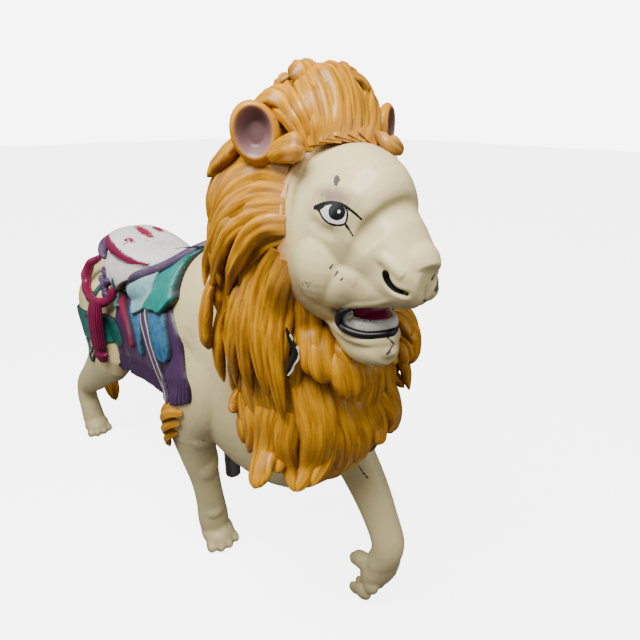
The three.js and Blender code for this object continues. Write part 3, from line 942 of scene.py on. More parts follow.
@dataclass
class EyePaint:
    """An eye as it is painted, drawn flat about a point below the lid, u towards the nose and v up.

    Attributes:
        centre: that point on the head, for the right eye.
        nose_way: the direction of u.
        out_way: the direction straight out of the eye.
        lid: the upper lid's stroke, in u and v.
        lower: the lower lid's stroke.
        corner: the stroke that closes the eye towards the nose.
        tear: the stroke down from that corner.
        iris: the disc's middle in u and v, and its radius.
    """

    centre: tuple[float, float, float] = (100, -90, 8)
    nose_way: tuple[float, float, float] = (0.927, 0.371, -0.06)
    out_way: tuple[float, float, float] = (0.375, -0.919, 0.119)
    lid: Rows = field(
        default_factory=lambda: [
            (-25, -1.5), (-15, 3.6), (-3, 8.8), (12, 12), (26, 12), (37, 8.8), (48, 3.4), (58, -3.5)
        ]
    )
    lower: Rows = field(
        default_factory=lambda: [
            (-24, -1), (-15, -5), (-7, -12), (5, -17.2), (17, -18.8), (28, -17.4), (35.5, -14)
        ]
    )
    corner: Rows = field(default_factory=lambda: [(35.5, -14), (37.6, -6.8), (36.6, 3), (32, 9)])
    tear: Rows = field(default_factory=lambda: [(35.8, -14), (42, -21), (49, -29)])
    iris: tuple[float, float, float] = (19.5, 0.5, 14.5)

    def flat(self, points: Array, side: int) -> tuple[Array, Array]:
        """Gives points on the head their place in the eye's plane, and their depth behind it.

        Args:
            points: in the head's frame.
            side: RIGHT or LEFT.

        Returns:
            The places, and the depths.
        """
        mirror = np.array([1, 1 if side == RIGHT else -1, 1])
        local = points * mirror - np.array(self.centre)
        u, n = unit(np.array(self.nose_way)), unit(np.array(self.out_way))
        n = unit(n - u * (n @ u))
        v = np.cross(n, u)
        v = v if v[2] > 0 else -v
        return np.stack([local @ u, local @ v], -1), local @ n

    def paint(self, surface: Surface, local: Array) -> None:
        """Stores the eye's painted zones on the head.

        Args:
            surface: the head.
            local: its points in the head's frame.
        """
        far = 60.0
        zones = {
            name: np.full(len(local), far) for name in (
                "liner", "white", "iris", "pupil", "glint", "lid_shadow"
            )
        }
        for side in (RIGHT, LEFT):
            uv, depth = self.flat(local, side)
            near = (np.abs(depth) < 45) & (
                np.linalg.norm(uv - (15, 0), axis=1) < 75
            ) & (local[:, 1] * side > 12)
            q = uv[near]
            strokes = [
                stroke_distance(q, self.lid, 3.6, 1.7),
                stroke_distance(q, self.lower, 2.0, 1.6),
                stroke_distance(q, self.corner, 1.6, 1.6),
                stroke_distance(q, self.tear, 2.0, 1.2),
                outline_distance(q, [(-27, -2), (-12, 6), (-2, 10), (-6, 2), (-15, -4)]),
            ]
            x, y, r = self.iris
            found = {
                "liner": np.min(strokes, axis=0),
                "white": outline_distance(q, [*self.lid[:6], *self.corner[::-1], *self.lower[::-1]]),
                "iris": np.hypot(q[:, 0] - x, (q[:, 1] - y) * 1.2) - r,
                "pupil": np.hypot(q[:, 0] - x, (q[:, 1] - y) * 1.15) - 0.62 * r,
                "glint": np.hypot(q[:, 0] - x - 4, q[:, 1] - y - 1) - 2.6,
                "lid_shadow": np.hypot((q[:, 0] - 8) / 2.8, q[:, 1] - 21) - 12,
            }
            for name, value in found.items():
                zones[name][near] = np.minimum(zones[name][near], value)
        for name, value in zones.items():
            surface.paint(name, value)


@dataclass
class Head:
    """The head: skull, muzzle, lower jaw and ears, and what is painted on them.

    Attributes:
        grain: the skin's mesh size in millimetres.
        skull: stations from the nape to the nose.
        jaw: stations of the lower jaw's rim.
        chin: stations of the deeper part under it.
        eye: how the eyes are painted.
    """

    grain: float = 2.3
    skull: Rows = field(
        default_factory=lambda: [
            (-100, 0, -10, 84, 92),
            (-40, 0, -40, 118, 136),
            (20, 0, -48, 130, 161),
            (56, -4, -47, 116, 158),
            (92, -10, -42, 86, 131),
            (128, -6, -60, 70, 91),
            (166, -5, -74, 61, 74),
            (194, -4, -82, 54, 56),
            (214, -3, -86, 44, 43),
            (228, 0, -86, 26, 24),
        ]
    )
    jaw: Rows = field(
        default_factory=lambda: [
            (0, -2, -186, 60, 30),
            (40, -6, -192, 50, 18),
            (80, -8, -198, 52, 16),
            (105, -8, -200, 53, 15),
            (125, -8, -201, 50, 15),
            (145, -8, -200, 41, 15),
            (160, -8, -197, 28, 14),
            (171, -8, -195, 14, 11),
            (176, -8, -194, 5, 5),
        ]
    )
    chin: Rows = field(
        default_factory=lambda: [
            (40, -6, -208, 38, 26),
            (95, -8, -221, 43, 38),
            (120, -8, -222, 42, 39),
            (142, -8, -218, 37, 36),
            (158, -8, -211, 28, 30),
            (168, -8, -208, 17, 20),
            (174, -8, -204, 8, 12),
        ]
    )
    eye: EyePaint = field(default_factory=EyePaint)

    def lumps(self) -> list[Shell]:
        """The lumps of clay that make the head's skin, in the head's frame."""
        shells = [
            loft(self.skull, 60, 56, power=2.15),
            loft(
                [(132, 0, -30, 30, 16), (172, 0, -38, 34, 20), (206, 0, -54, 36, 24), (226, 0, -68, 26, 16)],
                20, 28,
            ),
            loft(
                [(56, 0, 60, 34, 34), (96, 0, 22, 36, 26), (136, 0, -8, 32, 24), (170, 0, -30, 30, 18)],
                20, 28,
            ),
        ]
        for side in (RIGHT, LEFT):
            # the far side is the slimmer one
            slim = 0 if side == RIGHT else 1
            shells += [
                egg((98, side * (57 - 12 * slim), -2), (42, 35, 38)),
                egg((166, side * (25 - 4 * slim), -100), (48, 36, 34)),
                egg((204, side * (26 - 6 * slim), -98), (24, 20, 26)),
                egg((58, side * 76, -88), (62, 38, 68)),
                egg(
                    (104, side * (54 - 14 * slim), 26), (40, 20 - 4 * slim, 26 - 3 * slim),
                    (0, 12, -side * 28),
                ),
                egg((208, side * (22 - 4 * slim), -62), (20, 18, 18)),
                loft(
                    [
                        (46, side * 74, -98, 36, 58),
                        (90, side * 66, -105, 32, 51),
                        (125, side * (54 - 4 * slim), -102, 28, 43),
                        (155, side * (44 - 5 * slim), -100, 26, 37),
                        (182, side * (36 - 5 * slim), -98, 22, 32),
                    ],
                    24,
                    28,
                ),
            ]
        return shells

    def ear(self, side: int) -> list[Shell]:
        """One ear's shell and root, before its bowl is sunk."""
        root = egg((-66, side * 106, 84), (44, 38, 50))
        rim = Shell(
            self.on_ear(egg((0, 0, 0), (20, 41, 50)).points, side), egg((0, 0, 0), (20, 41, 50)).faces
        )
        return [root, rim]

    def on_ear(self, points: Array, side: int) -> Array:
        """Takes points from an ear's own frame, x out of its bowl, to the head's."""
        set_round = turned(turned(points, 0, side * -20), 2, side * 38)
        return set_round + np.array([-42, side * 132, 108])

    def jaw_piece(self) -> list[Shell]:
        """The lower jaw and chin."""
        return [loft(self.jaw, 40, 40, power=2.6), loft(self.chin, 40, 40)]

    def build(self) -> bpy.types.Object:
        """Models the head, sinks its features and paints it.

        Returns:
            The piece.
        """
        upper = [headed(s) for s in self.lumps()]
        lower = [headed(s) for s in self.jaw_piece()]
        ears = [headed(s) for side in (RIGHT, LEFT) for s in self.ear(side)]
        piece = clay("head", [*upper, *lower, *ears], self.grain, 14)
        surface = Surface(piece)
        self.carve(surface)
        local = from_head(surface.points)
        self.paint(surface, local)
        finish_piece(piece, self.finish())
        return piece

    def carve(self, surface: Surface) -> None:
        """Sinks the mouth, nostrils, eyes and ears' bowls into the skin.

        Args:
            surface: the head.
        """
        for side in (RIGHT, LEFT):
            bowl = on_head(self.on_ear(np.array([[16.0, 0, 2]]), side))[0]
            front = np.array([math.cos(math.radians(side * 38)), math.sin(math.radians(side * 38)), 0.0])
            facing = np.clip(surface.normals @ turned(front[None], 2, HEAD_TURN)[0], 0, 1)
            away = np.linalg.norm((surface.points - bowl) / np.array([1, 1, 1.22]), axis=1)
            sink = 26 * (1 - step(14, 34, away)) * step(0.1, 0.6, facing)
            surface.points -= sink[:, None] * turned(front[None], 2, HEAD_TURN)
        surface.write()
        for side in (RIGHT, LEFT):
            at = lambda rows: on_head([(x, side * y, z) for x, y, z in rows])  # noqa: E731
            # the brow's roll over the eye, the hollow beside the bridge and the one under the eye
            surface.crease(at([(62, 98, 22), (92, 92, 34), (122, 78, 36), (146, 56, 22)]), 24, 2.0)
            surface.crease(at([(132, 70, -6), (150, 62, -12), (172, 52, -34)]), 30, -4)
            surface.crease(at([(70, 104, -10), (92, 98, -22), (118, 90, -24)]), 15, -3)
            surface.push(at([(112, 86, 0)])[0], 26, 2.5)
            # the fold from the nose to the corner of the mouth, and the cheek behind it
            surface.crease(at([(186, 58, -50), (164, 70, -84), (136, 76, -124), (150, 74, -92)]), 26, -2.0)
            surface.push(at([(60, 112, -90)])[0], 60, 2)
            # the nostril's slot and the wing over it
            flat = side_on(from_head(surface.points) * np.array([1, side, 1]))
            away, share = to_path(flat, side_on(smooth_path(NOSTRIL, 24)))
            taper = np.clip(np.minimum(share, 1 - share) * 6 + 0.4, 0, 1)
            near = from_head(surface.points)[:, 1] * side > 12
            surface.points -= surface.normals * (10 * near * taper * soft(away / 7.5))[:, None]
            surface.crease(at([(186, 58, -46), (204, 50, -56), (222, 40, -70)]), 12, 4)
            surface.crease(
                at([(206, 48, -112), (184, 56, -124), (146, 62, -134), (104, 66, -152)]), 10, 2.5
            )
        # the groove under the nose
        surface.crease(on_head([(236, 0, -84), (230, 0, -104), (222, 0, -122), (214, 0, -132)]), 8, -5)
        surface.write()

    def paint(self, surface: Surface, local: Array) -> None:
        """Stores the head's painted zones.

        Args:
            surface: the head.
            local: its points in the head's frame.
        """
        self.eye.paint(surface, local)
        mirror = local * np.array([1, -1, 1])
        right = np.where(local[:, 1:2] < 0, mirror, local)
        slot, share = to_path(side_on(right), side_on(smooth_path(NOSTRIL, 24)))
        surface.paint("nostril", np.where(right[:, 1] > 12, slot - 5.4 + 2.4 * share, 40))
        philtrum = smooth_path([(232, 0, -108), (224, 0, -120), (214, 0, -134)], 16)
        surface.paint("philtrum", to_path(right * np.array([1, 1, 1]), philtrum)[0] - 2.6)
        # the face is cream in front of a line from the brow, down behind the cheek, to the jaw
        line_x = np.interp(
            local[:, 2], [-240, -190, -130, -60, 0, 50, 84, 112], [30, 22, 34, 34, 22, 20, 24, 44]
        )
        surface.paint("hair", local[:, 0] - line_x)
        ears = np.full(len(local), 60.0)
        for side in (RIGHT, LEFT):
            away = np.linalg.norm(
                (local - self.on_ear(np.array([[10.0, 0, 2]]), side)[0]) / np.array([1, 1, 1.25]), axis=1
            )
            ears = np.minimum(ears, away - 30)
        surface.paint("ear", ears)
        # painted shade: darker on undersides, in the fold from the nose, round the eye's socket and over the
        # jowl
        under = np.clip(-surface.normals[:, 2], 0, 1) * 0.5
        fold, _ = to_path(
            right, np.array([(186, 58, -50), (164, 70, -84), (136, 76, -124), (112, 74, -156)], float)
        )
        socket, _ = to_path(
            right, np.array([(62, 104, 4), (96, 92, -22), (126, 84, -20), (146, 66, -10)], float)
        )
        jowl = step(70, 40, local[:, 0]) * soft(np.abs(local[:, 2] + 120) / 110)
        hollow = under + 0.35 * soft(fold / 26) + 0.2 * soft(socket / 22) + 0.35 * jowl
        surface.paint("hollow", np.clip(hollow, 0, 1))
        surface.scar(FACE_MARKS)

    def finish(self) -> bpy.types.Material:
        """The head's enamel: cream, with the eyes, nostrils and hairline brushed on."""
        coat = Enamel("face_enamel", Paint.CREAM, Paint.CREAM_SHADE, Paint.CREAM_WORN, chips=0.3, worn=0.14)
        graph = Graph(coat.name)
        colour = coat.ground(graph)
        shadow = zone(graph, "lid_shadow", 14, 5)
        faint = graph.add("Math", {"operation": "MULTIPLY"}, {0: shadow, 1: 0.8}).outputs[0]
        colour = mix(graph, faint, colour, srgb(Paint.MAUVE.value))
        colour = mix(graph, zone(graph, "hair", 26, 12), colour, srgb(Paint.ROSE_WHITE.value))
        gold = graph.add("Attribute", {"attribute_name": "hair"}).outputs["Fac"]
        gold = graph.add("MapRange", {}, {"Value": gold, "From Min": -12.0, "From Max": -45.0}).outputs[0]
        colour = mix(graph, gold, colour, srgb(Paint.GOLD.value))
        colour = mix(graph, zone(graph, "ear", 6, 2), colour, srgb(Paint.MAUVE.value))
        colour = mix(graph, zone(graph, "white", 0.8), colour, srgb(Paint.EYE_WHITE.value))
        colour = mix(graph, zone(graph, "iris", 0.8), colour, srgb(Paint.BLACK.value))
        colour = mix(graph, zone(graph, "glint", 0.8), colour, srgb(Paint.EYE_WHITE.value))
        for line in ("liner", "nostril", "philtrum"):
            colour = mix(graph, zone(graph, line, 0.9, 0.5), colour, srgb(Paint.BLACK.value))
        return coat.close(graph, colour)


@dataclass
class Mouth:
    """What shows in the open mouth: the black lip, the gum with its worn white, and the tongue."""

    def lip(self) -> Shell:
        """The lower lip's roll, from one corner of the mouth to the other."""
        near = [
            (132, -64, -143, 4, 4),
            (116, -70, -154, 6, 6),
            (106, -68, -167, 7, 7),
            (103, -63, -180, 7, 7),
            (120, -59, -187, 7, 7),
            (143, -43, -190, 7, 7),
            (160, -25, -187, 7, 7),
            (168, -9, -184, 7, 7),
        ]
        far = [
            (160, 7, -183, 6, 6),
            (144, 20, -186, 6, 6),
            (124, 31, -187, 6, 6),
            (106, 42, -180, 6, 6),
            (104, 46, -164, 5, 5),
            (120, 46, -150, 4, 4),
        ]
        return headed(loft([*near, *far], 110, 14, Axis.Z))

    def gum(self) -> Shell:
        """The gum, a low ridge inside the lip."""
        ridge = [
            (118, -56, -156, 6, 7),
            (110, -53, -170, 10, 10),
            (118, -46, -178, 12, 10),
            (137, -33, -180, 12, 10),
            (152, -17, -178, 12, 10),
            (158, -2, -175, 11, 10),
            (146, 14, -175, 9, 9),
            (120, 26, -176, 9, 9),
            (100, 30, -170, 8, 8),
        ]
        return headed(loft(ridge, 90, 16, Axis.Z))

    def build(self) -> list[bpy.types.Object]:
        """Models and dresses the mouth's pieces.

        Returns:
            The pieces.
        """
        lip = piece_from("lower_lip", self.lip())
        black = Enamel(
            "black_enamel", Paint.BLACK, Paint.BLACK, Paint.PRIMER, roughness=0.3, worn=0.2, chips=0.3
        )
        gum = piece_from("gum", self.gum())
        white = Enamel(
            "gum_enamel", Paint.GUM, Paint.EYE_GREY, Paint.PRIMER, ripple_mm=3.0, chips=1.5, worn=0.5
        )
        tongue = clay(
            "tongue",
            [headed(egg((112, -8, -172), (42, 32, 15))), headed(egg((92, -6, -160), (42, 44, 30)))], 2.5,
            4,
        )
        dark = Enamel(
            "tongue_enamel", Paint.TONGUE, Paint.BLACK, Paint.MAGENTA, roughness=0.3, worn=0.3, chips=0.2
        )
        for piece, coat in ((lip, black), (gum, white), (tongue, dark)):
            Surface(piece).paint("hollow", np.zeros(len(piece.data.vertices)))
            finish_piece(piece, coat.material())
        return [lip, gum, tongue]


# The mane


MANE: Rows = [
    (618, 6, 446, 30, 30),
    (618, 10, 478, 80, 74),
    (622, 26, 550, 138, 126),
    (620, 28, 650, 168, 154),
    (618, 28, 750, 178, 162),
    (614, 20, 850, 178, 160),
    (598, 0, 950, 164, 146),
    (602, -16, 1050, 154, 136),
    (622, -24, 1140, 138, 122),
    (656, -18, 1210, 104, 92),
    (680, -14, 1262, 78, 70),
    (684, -14, 1292, 38, 36),
]

@dataclass(frozen=True)
class View:
    """The photograph's camera, in the drawn frame.

    Attributes:
        place: where it stands, in millimetres.
        yaw: its heading in degrees, anticlockwise from +X.
        pitch: how far it looks up.
        roll: how far it leans.
        lens: its focal length in millimetres.
        frame: the width that the focal length is for.
        pixels: the photograph's width and height.
    """

    place: tuple[float, float, float] = (1331, -635, 1261)
    yaw: float = 136.9
    pitch: float = -23.5
    roll: float = 0.5
    lens: float = 27.06
    frame: float = 36.0
    pixels: int = 640

    def focal(self) -> float:
        """Its focal length in pixels."""
        return self.lens / self.frame * self.pixels

    def ray(self, pixel: tuple[float, float]) -> Array:
        """The direction in which a pixel of the photograph is seen.

        Args:
            pixel: counted right and down from the photograph's upper left corner.

        Returns:
            A unit vector.
        """
        yaw, pitch, roll = (math.radians(a) for a in (self.yaw, self.pitch, self.roll))
        level = math.cos(pitch)
        ahead = np.array([level * math.cos(yaw), level * math.sin(yaw), math.sin(pitch)])
        right = unit(np.cross(ahead, [0, 0, 1.0]))
        up = np.cross(right, ahead)
        across = right * math.cos(roll) + up * math.sin(roll)
        upward = up * math.cos(roll) - right * math.sin(roll)
        u, v = (np.asarray(pixel, float) - self.pixels / 2) / self.focal()
        return unit(ahead + across * u - upward * v)


VIEW = View()


def off_egg(points: Array, middle: tuple[float, float, float], radii: tuple[float, float, float]) -> Array:
    """About how far places stand off an egg.

    Args:
        points: the places.
        middle: the egg's middle.
        radii: its radii.

    Returns:
        One distance each, negative inside.
    """
    return (np.linalg.norm((points - np.array(middle)) / np.array(radii), axis=-1) - 1) * min(radii)


def off_mass(points: Array) -> Array:
    """About how far places stand off what carries the locks: the mane's core, the crown and the head.

    Args:
        points: the places.

    Returns:
        One distance each, negative inside.
    """
    rows = np.asarray(MANE, float)
    height = np.clip(points[:, 2], rows[0, 2], rows[-1, 2])
    x, y, wide, long = (np.interp(height, rows[:, 2], rows[:, k]) for k in (0, 1, 3, 4))
    dx, dy = np.abs(points[:, 0] - x), np.abs(points[:, 1] - y)
    core = (np.hypot(dx / long, dy / wide) - 1) * (long * dx + wide * dy) / (dx + dy + 1e-6)
    past = np.abs(points[:, 2] - height)
    core = np.where(past > 0, np.hypot(np.maximum(core, 0), past), core)
    local = from_head(points)
    crown = off_egg(local, (-50, 0, 60), (92, 96, 96))
    head = off_egg(local, (0, 0, -40), (150, 128, 150))
    return np.minimum.reduce([core, crown, head])


@dataclass(frozen=True)
class Stroke:
    """A lock as it was traced over the photograph.

    Attributes:
        where: the part of the mane that it stands in.
        wide_px: half its greatest width, in the photograph's pixels.
        thick: half its thickness, in millimetres.
        strands: how many ridges run along it.
        blunt: how round its tip is, from 0 to 1.
        lifts: how far it stands off the mane's mass, from root to tip, in millimetres.
        pixels: the pixels that it passes through, from root to tip.
    """

    where: str
    wide_px: float
    thick: float
    strands: float
    blunt: float
    lifts: tuple[float, ...]
    pixels: tuple[tuple[float, float], ...]

    def meets(self, pixel: tuple[float, float], lift: float) -> Array:
        """Where a pixel's ray comes within the lift of the mane's mass, or passes nearest to it.

        Args:
            pixel: the photograph's pixel.
            lift: how far off the mass the lock stands there.

        Returns:
            The place.
        """
        nearest, farthest, steps = 500, 1600, 1200
        places = np.array(VIEW.place) + np.linspace(nearest, farthest, steps)[:, None] * VIEW.ray(pixel)
        gap = off_mass(places) - lift
        inside = np.flatnonzero(gap < 0)
        return places[inside[0] if len(inside) else np.argmin(gap)]

    def places(self) -> Array:
        """Its places on the mane, from root to tip.

        They are found outwards from one pixel, and where the next one's ray would jump in depth, the
        last one's depth is kept.

        Returns:
            The places, in whole millimetres.
        """
        pixel_mm, leap, slack = 1.96, 1.7, 12
        count = len(self.pixels)
        lifts = np.interp(np.linspace(0, 1, count), np.linspace(0, 1, len(self.lifts)), self.lifts)
        first = count - 1 if self.where == "flap" else count // 2
        found = {first: self.meets(self.pixels[first], lifts[first])}
        for order, way in ((range(first + 1, count), 1), (range(first - 1, -1, -1), -1)):
            for i in order:
                last = found[i - way]
                place = self.meets(self.pixels[i], lifts[i])
                apart = math.dist(self.pixels[i], self.pixels[i - way]) * pixel_mm
                if np.linalg.norm(place - last) > leap * apart + slack:
                    ray = VIEW.ray(self.pixels[i])
                    place = np.array(VIEW.place) + (last - np.array(VIEW.place)) @ ray * ray
                found[i] = place
        return np.round([found[i] for i in range(count)])

    def wide(self) -> float:
        """Half its greatest width in whole millimetres, from how far it is from the camera."""
        away = np.linalg.norm(self.places() - np.array(VIEW.place), axis=-1).mean()
        return round(self.wide_px * away / VIEW.focal())


# the locks that the photograph shows, as they were traced over it
STROKES: tuple[Stroke, ...] = (
    Stroke("crest", 8, 13, 2.5, 0.3, (14, 26, 20, 8), (
        (372, 137), (374, 115), (370, 95), (360, 80), (345, 74),
    )),
    Stroke("crest", 7, 12, 2.2, 0.3, (14, 28, 22, 8), (
        (361, 136), (362, 115), (358, 95), (348, 80), (336, 70),
    )),
    Stroke("crest", 9, 14, 2.6, 0.3, (14, 34, 34, 16), (
        (350, 136), (351, 112), (347, 90), (338, 70), (322, 62),
    )),
    Stroke("crest", 8, 13, 2.2, 0.3, (14, 38, 38, 20), (
        (340, 137), (341, 112), (337, 88), (328, 70), (314, 66),
    )),
    Stroke("crest", 7, 13, 2.2, 0.3, (14, 36, 36, 20), (
        (331, 139), (331, 115), (325, 92), (316, 74), (306, 64),
    )),
    Stroke("crest", 8, 13, 2.6, 0.3, (14, 34, 36, 20), (
        (322, 141), (319, 118), (312, 96), (304, 78), (296, 66),
    )),
    Stroke("crest", 7, 13, 2.2, 0.4, (14, 32, 36, 20), (
        (315, 143), (310, 122), (301, 103), (291, 87), (281, 78),
    )),
    Stroke("crest", 7, 12, 2.2, 0.4, (14, 28, 32, 20), (
        (309, 146), (304, 128), (295, 112), (283, 99), (270, 93),
    )),
    Stroke("crest", 6, 11, 2.2, 0.3, (14, 26, 26, 16), (
        (304, 150), (300, 134), (291, 119), (279, 110), (266, 106),
    )),
    Stroke("crown", 10, 14, 2.2, 0.5, (30, 40, 30), ((310, 78), (303, 66), (296, 64))),
    Stroke("crown", 9, 13, 2.2, 0.6, (24, 30, 24), ((298, 92), (286, 79), (276, 84))),
    Stroke("crown", 9, 13, 2.2, 0.6, (20, 24, 16), ((284, 102), (270, 94), (262, 100))),
    Stroke("earlock", 13, 14, 2.3, 0.5, (20, 34, 30, 26), ((304, 149), (294, 146), (282, 149), (267, 157))),
    Stroke("farlock", 6.4, 11, 2.0, 0.5, (10, 20, 16), ((380, 133), (392, 141), (404, 153))),
    Stroke("back", 13, 16, 2.6, 0.3, (6, 14, 18, 22), ((246, 122), (234, 142), (220, 160), (206, 177))),
    Stroke("back", 11, 14, 2.4, 0.3, (6, 12, 14, 14), ((250, 158), (234, 168), (221, 182), (214, 204))),
    Stroke("sweep", 11, 15, 2.6, 0.2, (6, 20, 26, 22, 16), (
        (286, 178), (262, 172), (240, 180), (224, 198), (214, 222), (209, 246),
    )),
    Stroke("sweep", 9, 15, 2.4, 0.2, (6, 22, 30, 24, 18), (
        (287, 196), (262, 193), (241, 199), (225, 214), (214, 236), (206, 262), (203, 286),
    )),
    Stroke("sweep", 9, 14, 2.4, 0.2, (6, 24, 34, 30, 20), (
        (285, 210), (262, 210), (242, 216), (227, 230), (218, 250), (214, 272), (208, 296),
    )),
    Stroke("sweep", 8, 14, 2.2, 0.2, (6, 26, 38, 34, 20), (
        (285, 226), (266, 226), (250, 236), (239, 252), (231, 272), (226, 296),
    )),
    Stroke("sweep", 5, 10, 1.6, 0.2, (6, 18, 22, 16), (
        (283, 238), (266, 244), (252, 256), (243, 272), (240, 290),
    )),
    Stroke("long", 9, 14, 2.2, 0.6, (14, 18, 18, 14), (
        (214, 268), (206, 290), (203, 315), (204, 336), (209, 349),
    )),
    Stroke("long", 9, 14, 2.4, 0.4, (10, 24, 26, 18), (
        (225, 290), (219, 310), (216, 335), (217, 358), (223, 382),
    )),
    Stroke("long", 8, 14, 2.4, 0.3, (12, 30, 34, 22), (
        (250, 276), (238, 298), (232, 325), (231, 352), (236, 386),
    )),
    Stroke("long", 8, 15, 2.2, 0.3, (10, 34, 38, 26), (
        (268, 258), (252, 280), (245, 308), (243, 340), (246, 372), (252, 396),
    )),
    Stroke("long", 9, 15, 2.6, 0.3, (10, 36, 42, 30), (
        (280, 254), (266, 276), (259, 305), (257, 338), (262, 372), (268, 398),
    )),
    Stroke("long", 9, 15, 2.6, 0.5, (8, 34, 42, 36), (
        (288, 262), (278, 284), (272, 312), (271, 345), (276, 380), (283, 420),
    )),
    Stroke("long", 6, 12, 2.0, 0.3, (6, 26, 30, 22), (
        (294, 276), (288, 300), (285, 325), (283, 352), (284, 380),
    )),
    Stroke("long", 6, 12, 2.0, 0.4, (8, 18, 20, 20), (
        (304, 290), (302, 315), (301, 340), (297, 370), (295, 400),
    )),
    Stroke("beard", 10, 14, 2.0, 0.8, (8, 26, 34, 34), ((308, 300), (309, 325), (312, 350), (310, 374))),
    Stroke("beard", 11, 14, 2.0, 0.8, (14, 34, 44, 44), ((322, 318), (321, 340), (322, 362), (327, 382))),
    Stroke("beard", 12, 15, 2.0, 0.8, (20, 50, 58, 54), ((338, 340), (342, 358), (347, 378), (350, 397))),
    Stroke("beard", 9, 13, 2.0, 0.8, (20, 44, 52, 48), ((356, 352), (361, 364), (364, 375), (365, 385))),
    Stroke("beard", 9, 12, 1.6, 0.8, (30, 48, 56), ((335, 336), (345, 350), (353, 365))),
    Stroke("beard", 6, 10, 1.6, 0.8, (30, 40, 44), ((372, 356), (374, 366), (374, 375))),
    Stroke("flap", 9, 14, 2.0, 0.3, (10, 30, 34, 26), (
        (404, 300), (412, 318), (417, 335), (417, 350), (412, 364),
    )),
    Stroke("flap", 8, 13, 2.0, 0.3, (10, 24, 30, 30), ((396, 322), (402, 344), (407, 366), (410, 390))),
    Stroke("flap", 9, 13, 2.0, 0.4, (6, 16, 24, 22), ((380, 352), (390, 366), (398, 378), (405, 388))),
    Stroke("chest", 14, 18, 2.6, 0.3, (14, 26, 34, 34, 26), (
        (306, 368), (310, 392), (316, 415), (318, 440), (311, 464), (297, 490),
    )),
    Stroke("chest", 9, 15, 2.2, 0.5, (14, 24, 30, 26), (
        (318, 392), (324, 412), (328, 436), (325, 458), (312, 484),
    )),
    Stroke("chest", 9, 15, 2.2, 0.4, (10, 20, 26, 26), (
        (292, 400), (288, 420), (286, 442), (290, 466), (295, 490),
    )),
    Stroke("chest", 11, 16, 2.4, 0.7, (10, 20, 28, 26), (
        (264, 396), (265, 420), (266, 446), (262, 468), (256, 487),
    )),
    Stroke("chest", 8, 14, 2.2, 0.6, (8, 16, 24, 20), ((276, 420), (279, 440), (281, 456), (278, 472))),
    Stroke("chest", 7, 13, 2.0, 0.5, (8, 14, 20, 18), ((246, 396), (249, 414), (253, 432), (252, 452))),
    Stroke("chest", 5, 11, 1.8, 0.5, (6, 12, 16), ((232, 388), (234, 402), (236, 413))),
    Stroke("chest", 6, 11, 1.8, 0.4, (6, 12, 14), ((238, 404), (242, 424), (247, 443))),
    Stroke("chest", 12, 14, 2.4, 0.8, (6, 16, 22, 20), ((332, 386), (340, 412), (346, 438), (341, 468))),
    Stroke("chest", 11, 14, 2.4, 0.8, (6, 16, 22, 20), ((350, 392), (358, 416), (362, 438), (357, 460))),
    Stroke("chest", 10, 14, 2.2, 0.8, (6, 12, 18, 16), ((366, 384), (373, 406), (377, 426), (376, 444))),
    Stroke("chest", 12, 14, 2.2, 0.9, (6, 14, 18, 16), ((382, 376), (389, 394), (394, 412), (388, 432))),
    Stroke("chest", 6, 11, 2.0, 0.5, (8, 14, 20), ((312, 380), (322, 398), (330, 420), (333, 446))),
)


def on_mane(degrees: Array, height: Array, lift: Array) -> Array:
    """Places on the mane's core.

    Args:
        degrees: turn from straight ahead, positive to the left.
        height: over the floor.
        lift: how far they stand off the core.

    Returns:
        The places.
    """
    rows = smooth_path(MANE, 300)
    x, y, wide, long = (np.interp(height, rows[:, 2], rows[:, k]) for k in (0, 1, 3, 4))
    a = np.radians(degrees)
    return np.stack(
        [x + (long + lift) * np.cos(a), y + (wide + lift) * np.sin(a), np.asarray(height, float)], -1
    )


